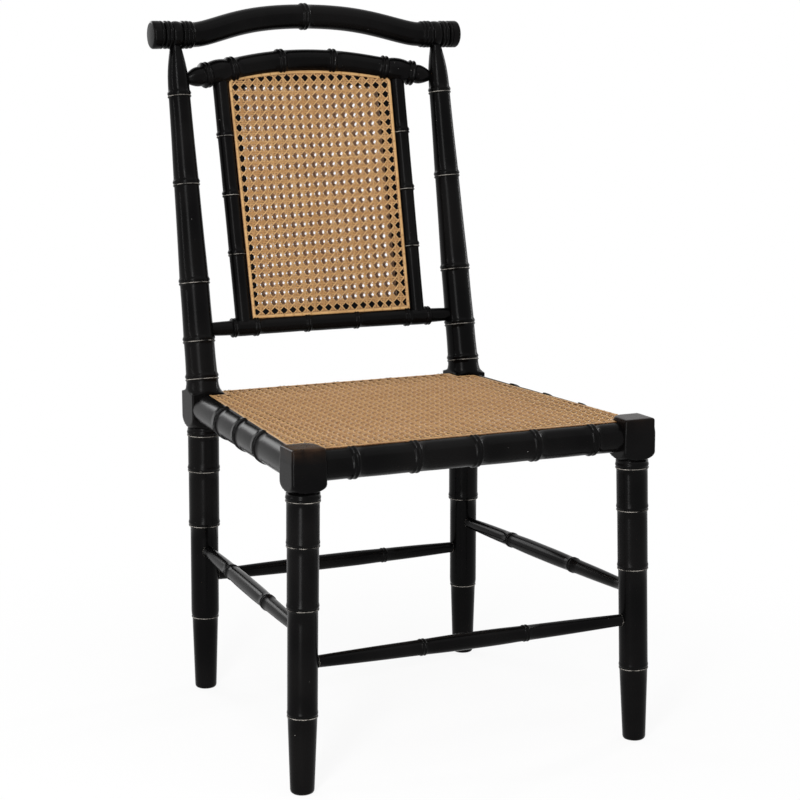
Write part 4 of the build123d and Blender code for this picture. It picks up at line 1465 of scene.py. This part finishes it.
@dataclass
class Binding:
    """Strip of cane round a panel's rim, with loops of fine cane over it.

    Attributes:
        outline: Closed outline of the panel.
        surface: Turns places in the plane and heights over the cane into points.
        facing: 1 where it faces forwards or up, otherwise -1.
        pitch: Distance between loops.
        height: Height of the strip under the loops.
        tone: Shade of the strip.
        random: Source of small faults.
        reach: Distances from the outline where a loop starts and ends.
        loop_rise: Height of a loop's middle over the strip.
        loop_fall: How far its ends fall.
        uneven: How far loops usually lie from even places.
    """

    outline: Points
    surface: Surface
    facing: int
    pitch: float
    height: float
    tone: float
    random: np.random.Generator
    reach: tuple[float, float] = (0.2, 6.1)
    loop_rise: float = 0.42
    loop_fall: float = 1.5
    uneven: float = 0.3
    shape: Shape = field(default_factory=Shape)

    def band(self) -> None:
        """Adds the strip."""
        loops, fibres = [], []
        places = np.cumsum(np.linalg.norm(self.outline - np.roll(self.outline, 1, axis=0), axis=1))
        for distance, height in BINDING_SECTION[:: self.facing]:
            line = inset(self.outline, distance)
            loops.append(self.surface(line[:, 0], line[:, 1], np.full(len(line), self.facing * height)))
            # Across is 1 at both rims of the strip, where the cane finish paints shade.
            across = np.full_like(places, abs(2 * distance / BINDING_SECTION[-1][0] - 1))
            fibres.append(np.stack([across, places, np.full_like(places, self.tone)], axis=1))
        self.shape.skin(np.stack(loops, axis=1), looped=True, fibre=np.stack(fibres, axis=1))

    def loop(self, spot: Points, inward: Points) -> None:
        """Adds one loop of fine cane.

        Args:
            spot: Place on the outline.
            inward: Direction into the outline.
        """
        tone, aside = self.random.random(), np.array([-inward[1], inward[0]])
        rings, fibres = [], []
        for share in np.linspace(0, 1, 7):
            distance = self.reach[0] + (self.reach[1] - self.reach[0]) * share
            lift = self.height + self.loop_rise - self.loop_fall * abs(2 * share - 1) ** 5
            flat = np.array([spot + inward * distance + aside * off for off, _ in LOOP_SECTION])
            heights = np.array([self.facing * (lift + rise) for _, rise in LOOP_SECTION])
            rings.append(self.surface(flat[:, 0], flat[:, 1], heights))
            # The loop's edges get the cane finish's painted shade.
            fibres.append([(abs(off), distance * 4, tone) for off, _ in LOOP_SECTION])
        self.shape.skin(np.array(rings), fibre=np.array(fibres))

    def build(self, name: str) -> None:
        """Builds the piece that stands for a CAD node.

        Args:
            name: Name of the node.
        """
        self.band()
        runs = np.roll(self.outline, -1, axis=0) - self.outline
        lengths = np.linalg.norm(runs, axis=1)
        starts = np.concatenate([[0], np.cumsum(lengths)])
        for place in np.arange(self.pitch / 2, starts[-1], self.pitch):
            index = int(np.searchsorted(starts, place) - 1)
            along = runs[index] / lengths[index]
            spot = self.outline[index] + along * (place - starts[index] + self.random.normal(0, self.uneven))
            self.loop(spot, np.array([-along[1], along[0]]))
        self.shape.piece(f"{name}_strip", Cane(), name)


@dataclass(frozen=True)
class Layer:
    """Layer of cane of the back.

    Attributes:
        word: Word for it in the names of pieces.
        facing: 1 at the front, -1 at the rear.
        face: Distance of the boards' face under it from the panel's middle.
        first: Place of one hole.
        broader: How much broader than usual its strands are.
        seed: Seed of its small faults.
    """

    word: str
    facing: int
    face: float
    first: tuple[float, float]
    broader: float
    seed: int


@dataclass(frozen=True)
class BackPanel:
    """Caned panel of the back: two layers of cane with binding, and the boards between them."""

    back: BackFrame
    half: float = 137.1
    cane_halves: tuple[float, float] = (132.4, 136.0)
    corner_round: float = 11.0
    low: float = 11.4
    high: float = 396.5
    arc: float = 600.0
    board_width: float = 17.0
    board_ease: float = 0.6
    board_gap: float = 0.05
    cane: float = 1.6
    cane_middle: float = 0.95
    cane_inset: float = 1.6
    loop_pitch: float = 15.0
    strip_height: float = 1.2
    strip_tone: float = 0.35
    sections: tuple[int, int] = (33, 4)
    bows: tuple[float, float] = (4.0, 15.0)
    pitch: tuple[float, float] = (254.0 / 17, 15.07)
    layers: tuple[Layer, Layer] = (
        Layer("front", 1, 4.5, (-127.0, 23.0), 0.0, 11),
        Layer("rear", -1, 10.6, (-128.9, 24.8), 1.1, 23),
    )

    def arch(self, across: float) -> float:
        """Height of the panel's top edge above the bottom rail's axis."""
        return self.high - self.arc + math.sqrt(self.arc**2 - across**2)

    def outline(self) -> Points:
        """Outline of the cane, anticlockwise from its lower left corner, round at the upper ones."""
        (low_half, half), bend, steps, uprights = self.cane_halves, self.corner_round, 44, 17
        flat = half - bend
        side = self.arch(flat) - bend
        right = []
        for share in np.arange(steps) / steps:
            right.append((low_half + (half - low_half) * share, self.low + (side - self.low) * share))
        for angle in np.radians(range(0, 90, 15)):
            right.append((flat + bend * math.cos(angle), side + bend * math.sin(angle)))
        bottom = [(low_half * number / uprights, self.low) for number in range(-uprights, uprights)]
        top = [flat * number / uprights for number in range(uprights, -uprights - 1, -1)]
        left = [(-x, up) for x, up in reversed(right[1:])]
        return np.array(bottom + right + [(x, self.arch(x)) for x in top] + left)

    def stray(self, flat: Points) -> Points:
        """How far strands stray from even places, for hand weaving is never quite even.

        Args:
            flat: Points of the panel, across and up.

        Returns:
            What each point moves across and up.
        """
        across = flat[..., 0] / self.half
        up = 2 * (flat[..., 1] - self.low) / (self.high - self.low) - 1
        aside = 0.5 - 1.5 * across + 2.5 * np.cos(across * math.pi / 2)
        fall = (2.8 - 5.0 * across) * (1 - up**2) * (1 - 0.7 * up)
        return np.stack([aside, -fall], axis=-1)

    def surface(self, across: Points, up: Points, height: Points) -> Points:
        """Points of the bowed panel.

        Args:
            across: Distances from the middle.
            up: Distances up from the bottom rail's axis.
            height: Distances in front of the panel's middle.

        Returns:
            The points.
        """
        base = np.array([0.0, self.back.bottom_y, self.back.bottom_z])
        run = self.back.top_point(self.back.stile_x) - base
        run[0] = 0.0
        along = unit(run)
        share = np.clip(up / np.linalg.norm(run), 0, 1.1)
        bow = (self.bows[0] + (self.bows[1] - self.bows[0]) * share**2.2) * (1 - (across / self.back.stile_x) ** 2)
        flat = base + across[:, None] * ACROSS + up[:, None] * along
        return flat + (height - bow)[:, None] * np.cross(ACROSS, along)

    def lifted(self, shift: float, strays: bool) -> Surface:
        """Surface at a distance in front of the panel's middle.

        Args:
            shift: The distance.
            strays: Whether its points stray from even places as the strands do.

        Returns:
            Function that turns places in the plane and heights over that surface into points.
        """

        def surface(across: Points, up: Points, height: Points) -> Points:
            """Points over the surface."""
            flat = np.stack([across, up], axis=-1)
            return self.surface(*(flat + strays * self.stray(flat)).T, height + shift)

        return surface

    def slab(self, name: str, across: Points, low: Callable, high: Callable) -> None:
        """Builds one board, bowed with the panel.

        Args:
            name: Name of the CAD node.
            across: Places of its sections.
            low: Gives its lower edge at a place.
            high: Gives its upper edge at a place.
        """
        rings, ease = [], self.board_ease
        front, rear = (layer.facing * layer.face for layer in self.layers)
        for x in across:
            bottom, top = low(x), high(x)
            lines = (
                (bottom, rear + ease), (bottom + ease, rear), (top - ease, rear), (top, rear + ease),
                (top, front - ease), (top - ease, front), (bottom + ease, front), (bottom, front - ease),
            )
            rings.append(self.surface(np.full(len(lines), x), *np.array(lines).T))
        shape = Shape()
        shape.skin(np.array(rings))
        shape.piece(f"{name}_bowed", BOARD_BLACK, name)

    def build(self) -> None:
        """Builds the boards, the cane and the binding."""
        strip, gap, (long, short) = self.board_width, self.board_gap, self.sections
        whole = np.linspace(-self.half, self.half, long)
        low_edge, high_edge = self.low + strip, self.arch(self.half) - strip
        self.slab("panel_board_bottom", whole, lambda x: self.low, lambda x: low_edge - gap)
        self.slab("panel_board_top", whole, lambda x: self.arch(x) - strip + gap, self.arch)
        for side in Side:
            places = np.linspace(*sorted((side.value * self.half, side.value * (self.half - strip))), short)
            self.slab(f"panel_board_{side.word}", places, lambda x: low_edge, lambda x: high_edge)
        outline = self.outline()
        rim = even = inset(outline, self.cane_inset)
        for _ in range(4):
            even = rim - self.stray(even)
        for layer in self.layers:
            facing, random = layer.facing, np.random.default_rng(layer.seed)
            surface = self.lifted(facing * (layer.face + self.cane_middle), True)
            weave = Weave(even, surface, layer.first, self.pitch, facing, random, layer.broader)
            weave.build(f"back_cane_{layer.word}")
            surface = self.lifted(facing * (layer.face + self.cane), False)
            random = np.random.default_rng(layer.seed + 5)
            strip = (self.loop_pitch, self.strip_height, self.strip_tone)
            Binding(outline, surface, facing, *strip, random).build(f"back_binding_{layer.word}")


@dataclass(frozen=True)
class Seat:
    """Caned seat with its binding, its boards, the corner braces and their screws.

    Attributes:
        seeds: Seeds of the small faults of the cane and of the binding.
        screws: Places of the screws on the right, across and from front to back.
        screw: Depth and radius of each ring of a screw's domed head.
    """

    gap: float = 0.4
    board_top: float = 461.9
    cane: float = 1.6
    cane_middle: float = 0.95
    inner_round: float = 20.0
    outset: float = 9.4
    notch: float = 6.0
    step: float = 8.0
    sag: float = 1.2
    sag_halves: tuple[float, float] = (235.0, 240.0)
    first: tuple[float, float] = (-7.7, FRONT.y + 14.0)
    pitch: tuple[float, float] = (15.4, 16.2)
    cane_inset: float = 1.2
    loop_pitch: float = 15.6
    strip_height: float = 1.0
    strip_tone: float = 0.4
    seeds: tuple[int, int] = (37, 41)
    brace_low: float = 432.9
    screw_sunk: float = 1.0
    slot_half: float = 0.6
    slot_floor: float = 0.35
    screws: tuple[tuple[float, float], ...] = (
        (196.0, FRONT.y + 36.0), (218.0, FRONT.y + 58.0), (166.0, REAR.y - 34.0), (190.0, REAR.y - 58.0),
    )
    screw: tuple[tuple[float, float], ...] = (
        (0.0, 4.2), (1.0, 4.2), (1.5, 3.9), (2.0, 3.2), (2.3, 2.2), (2.4, 0.9),
    )

    def edge(self, y: float) -> tuple[float, float]:
        """Point of the right edge, which runs outside the axes of the blocks."""
        share = (y - FRONT.y) / SEAT_RUN
        return (FRONT.x + (REAR.x - FRONT.x) * share + self.outset * (1 - share) - self.gap, y)

    def outline(self) -> Points:
        """Outline of the seat, notched round the four blocks, anticlockwise, its points at most a step apart."""
        front_half, rear_half = FRONT.block / 2 + self.gap, REAR.block / 2 + self.gap
        inner, bend, front_y = FRONT.x - front_half, self.inner_round, FRONT.y + front_half
        corners = [(inner, FRONT.y + self.gap)]
        for angle in np.radians(range(180, 89, -15)):
            corners.append((inner + bend + bend * math.cos(angle), front_y - bend + bend * math.sin(angle)))
        rear_x, rear_y = REAR.x - rear_half, REAR.y - rear_half - self.notch
        corners += [self.edge(front_y), self.edge(rear_y), (rear_x, rear_y), (rear_x, REAR.y - self.gap)]
        corners += [(-x, y) for x, y in reversed(corners)]
        points = []
        for start, end in zip(corners, [*corners[1:], corners[0]]):
            count = max(1, math.ceil(math.dist(start, end) / self.step))
            points.append(np.linspace(start, end, count, endpoint=False))
        return np.concatenate(points)

    def surface(self, across: Points, back: Points, height: Points) -> Points:
        """Points of the seat, which sags a little in the middle.

        Args:
            across: Distances from the middle.
            back: Places from front to back.
            height: Heights over the middle of the cane.

        Returns:
            The points.
        """
        wide, deep = self.sag_halves
        hollow = (1 - (across / wide) ** 2) * (1 - ((back - SEAT_MIDDLE) / deep) ** 2)
        level = self.board_top + self.cane_middle + height - self.sag * np.clip(hollow, 0, 1)
        return np.stack([across, back, level], axis=1)

    def rim(self, across: Points, back: Points, height: Points) -> Points:
        """Points of the level rim."""
        return np.stack([across, back, self.board_top + self.cane + height], axis=1)

    def add_screw(self, shape: Shape, x: float, y: float) -> None:
        """Adds the domed, slotted head of a screw under a brace.

        Args:
            shape: Shape to add to.
            x: Place across.
            y: Place from front to back.
        """
        path = straight((x, y, self.brace_low + self.screw_sunk), (x, y, 0))
        rings = np.array([section(path, depth, radius) for depth, radius in self.screw])
        cut = np.maximum(rings[..., 2], self.brace_low - self.slot_floor)
        rings[..., 2] = np.where(np.abs(rings[..., 1] - y) < self.slot_half, cut, rings[..., 2])
        shape.skin(rings)

    def build(self) -> None:
        """Builds the seat, and gives the boards and braces from the frame their materials."""
        outline, (weaving, binding) = self.outline(), map(np.random.default_rng, self.seeds)
        cane = (inset(outline, self.cane_inset), self.surface, self.first, self.pitch, 1, weaving)
        Weave(*cane, thickness=1.5, lift=0.6, slant_lift=1.05, roll=0.5).build("seat_cane")
        strip = (self.loop_pitch, self.strip_height, self.strip_tone)
        Binding(outline, self.rim, 1, *strip, binding).build("seat_binding")
        shape = Shape()
        for side in Side:
            for x, y in self.screws:
                self.add_screw(shape, side.value * x, y)
        shape.piece("brace_screws", Steel())
        for name, cad_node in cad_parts.items():
            for start, finish in (("seat_board", BLACK), ("corner_brace", SawnWood())):
                if name.startswith(start):
                    cad_node.data.materials.clear()
                    cad_node.data.materials.append(finish.material())
                    LOG.info("%s: kept from the frame", name)


# Studio
def stand(thing: bpy.types.Object, place: Place, right: Points, up: Points, back: Points) -> None:
    """Puts a lamp or the camera in its place, turned to its own three axes."""
    rows = np.stack([right, up, back, place], axis=1)
    thing.matrix_world = Matrix([*rows.tolist(), [0, 0, 0, 1]])


def seen_rays(shader: Shader) -> Value:
    """Tells rays that show the background, straight or in gloss or glass, from the rest.

    Args:
        shader: Shader to add to.

    Returns:
        1 for those rays and 0 for the rest.
    """
    rays = shader.node("ShaderNodeLightPath", {}, {}).outputs
    seen = Value(shader, rays["Is Camera Ray"]) + Value(shader, rays["Is Glossy Ray"])
    return (seen + Value(shader, rays["Is Transmission Ray"])).step(0.0, 0.5)


@dataclass(frozen=True)
class Lamp:
    """Soft lamp that points at the chair."""

    name: str
    place: Place
    size: tuple[float, float]
    power: float
    aim: Place = (0.0, 0.0, 0.5)

    def build(self) -> None:
        """Builds the lamp."""
        data = bpy.data.lights.new(self.name, "AREA")
        data.shape, data.energy = "RECTANGLE", self.power
        data.size, data.size_y = self.size
        lamp = placed(self.name, data)
        lamp.visible_camera = False
        back = unit(np.subtract(self.place, self.aim))
        right = unit(np.cross(UP, back))
        stand(lamp, self.place, right, np.cross(back, right), back)


@dataclass(frozen=True)
class Studio:
    """Pale floor, soft lamps, white surroundings and the camera."""

    ambient: float = 0.5
    floor_half: float = 7.0
    whiteness: float = 0.88
    fade: tuple[float, float] = (0.30, 1.10)
    lamps: tuple[Lamp, ...] = (
        Lamp("front_box", (-1.55, -1.95, 1.25), (0.60, 2.3), 30.0, (-0.1, 0.0, 1.25)),
        Lamp("high_strip", (-1.50, -1.90, 2.55), (0.20, 0.9), 18.0, (-0.2, 0.1, 1.0)),
        Lamp("near_box", (-0.81, -1.00, 0.30), (0.20, 0.56), 3.6, (-0.25, -0.30, 0.30)),
        Lamp("left_strip", (-2.9, 0.3, 1.5), (0.16, 1.9), 12.0),
        Lamp("rear_left", (-1.0, 2.9, 1.9), (1.5, 1.2), 25.0),
        Lamp("overhead", (0.2, -1.0, 3.0), (2.6, 2.6), 13.0),
        Lamp("right_strip", (2.4, 0.6, 1.4), (0.16, 1.9), 14.0),
    )
    camera_place: Place = (-1.2266, -2.74724, 0.9977)
    camera_right: Place = (0.9095, -0.4156, -0.0026)
    camera_up: Place = (0.0749, 0.1578, 0.9846)
    camera_back: Place = (-0.4088, -0.8957, 0.1747)
    lens: float = 92.88

    def build_camera(self) -> None:
        """Builds the camera."""
        data = bpy.data.cameras.new("camera")
        data.sensor_width, data.lens, data.clip_end = 36.0, self.lens, 60.0
        camera = placed("camera", data)
        stand(camera, self.camera_place, self.camera_right, self.camera_up, self.camera_back)
        bpy.context.scene.camera = camera

    def build_floor(self) -> None:
        """Builds the floor, which the camera sees nearly white."""
        half, mesh = self.floor_half, bpy.data.meshes.new("floor")
        corners = [(-half, -half, 0), (half, -half, 0), (half, half, 0), (-half, half, 0)]
        mesh.from_pydata(corners, [], [(0, 1, 2, 3)])
        floor = placed("floor", mesh)
        material, shader = new_material("pale_floor")
        place = shader.place()
        cloud = shader.noise(place, 0.8, 2.0)
        distance = shader.value("ShaderNodeVectorMath", {"operation": "LENGTH"}, {0: place}, 1)
        whitened = self.whiteness + distance.step(*self.fade) * (1 - self.whiteness)
        inputs = {"Base Color": shader.blend(cloud, (0.86, 0.86, 0.86), (0.88, 0.88, 0.88)), "Roughness": 0.9}
        surface = shader.socket("ShaderNodeBsdfPrincipled", {}, inputs)
        glow = shader.socket("ShaderNodeEmission", {}, {"Color": (1.0, 1.0, 1.0, 1.0), "Strength": 1.0})
        mixed = shader.socket("ShaderNodeMixShader", {}, {0: seen_rays(shader) * whitened, 1: surface, 2: glow})
        shader.node("ShaderNodeOutputMaterial", {}, {"Surface": mixed})
        mesh.materials.append(material)
        floor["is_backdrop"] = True

    def build_world(self) -> None:
        """Builds the white surroundings."""
        world = bpy.data.worlds.new("studio")
        bpy.context.scene.world = world
        world.use_nodes = True
        shader = Shader(world.node_tree)
        inputs = {"Color": (1.0, 1.0, 1.0, 1.0), "Strength": seen_rays(shader) * (1 - self.ambient) + self.ambient}
        background = shader.socket("ShaderNodeBackground", {}, inputs)
        shader.node("ShaderNodeOutputWorld", {}, {"Surface": background})

    def build(self) -> None:
        """Builds the studio."""
        self.build_camera()
        self.build_floor()
        self.build_world()
        for lamp in self.lamps:
            lamp.build()
        bpy.context.scene.view_settings.view_transform = "Standard"


def main() -> None:
    """Builds the chair and its studio, and works out the sizes of both boxes."""
    logging.basicConfig(level=logging.INFO, format="%(message)s")
    back = BackFrame()
    frame_parts = (FrontLegs(), RearPosts(), SeatRails(), Stretchers(), CrestRail(), back)
    for part in (Studio(), *frame_parts, BackPanel(back), Seat()):
        LOG.info("building %s", type(part).__name__)
        part.build()
    boxes = [[list(corner) for corner in box] for box in (CAD_BOX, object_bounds())]


if __name__ == "__main__":
    main()
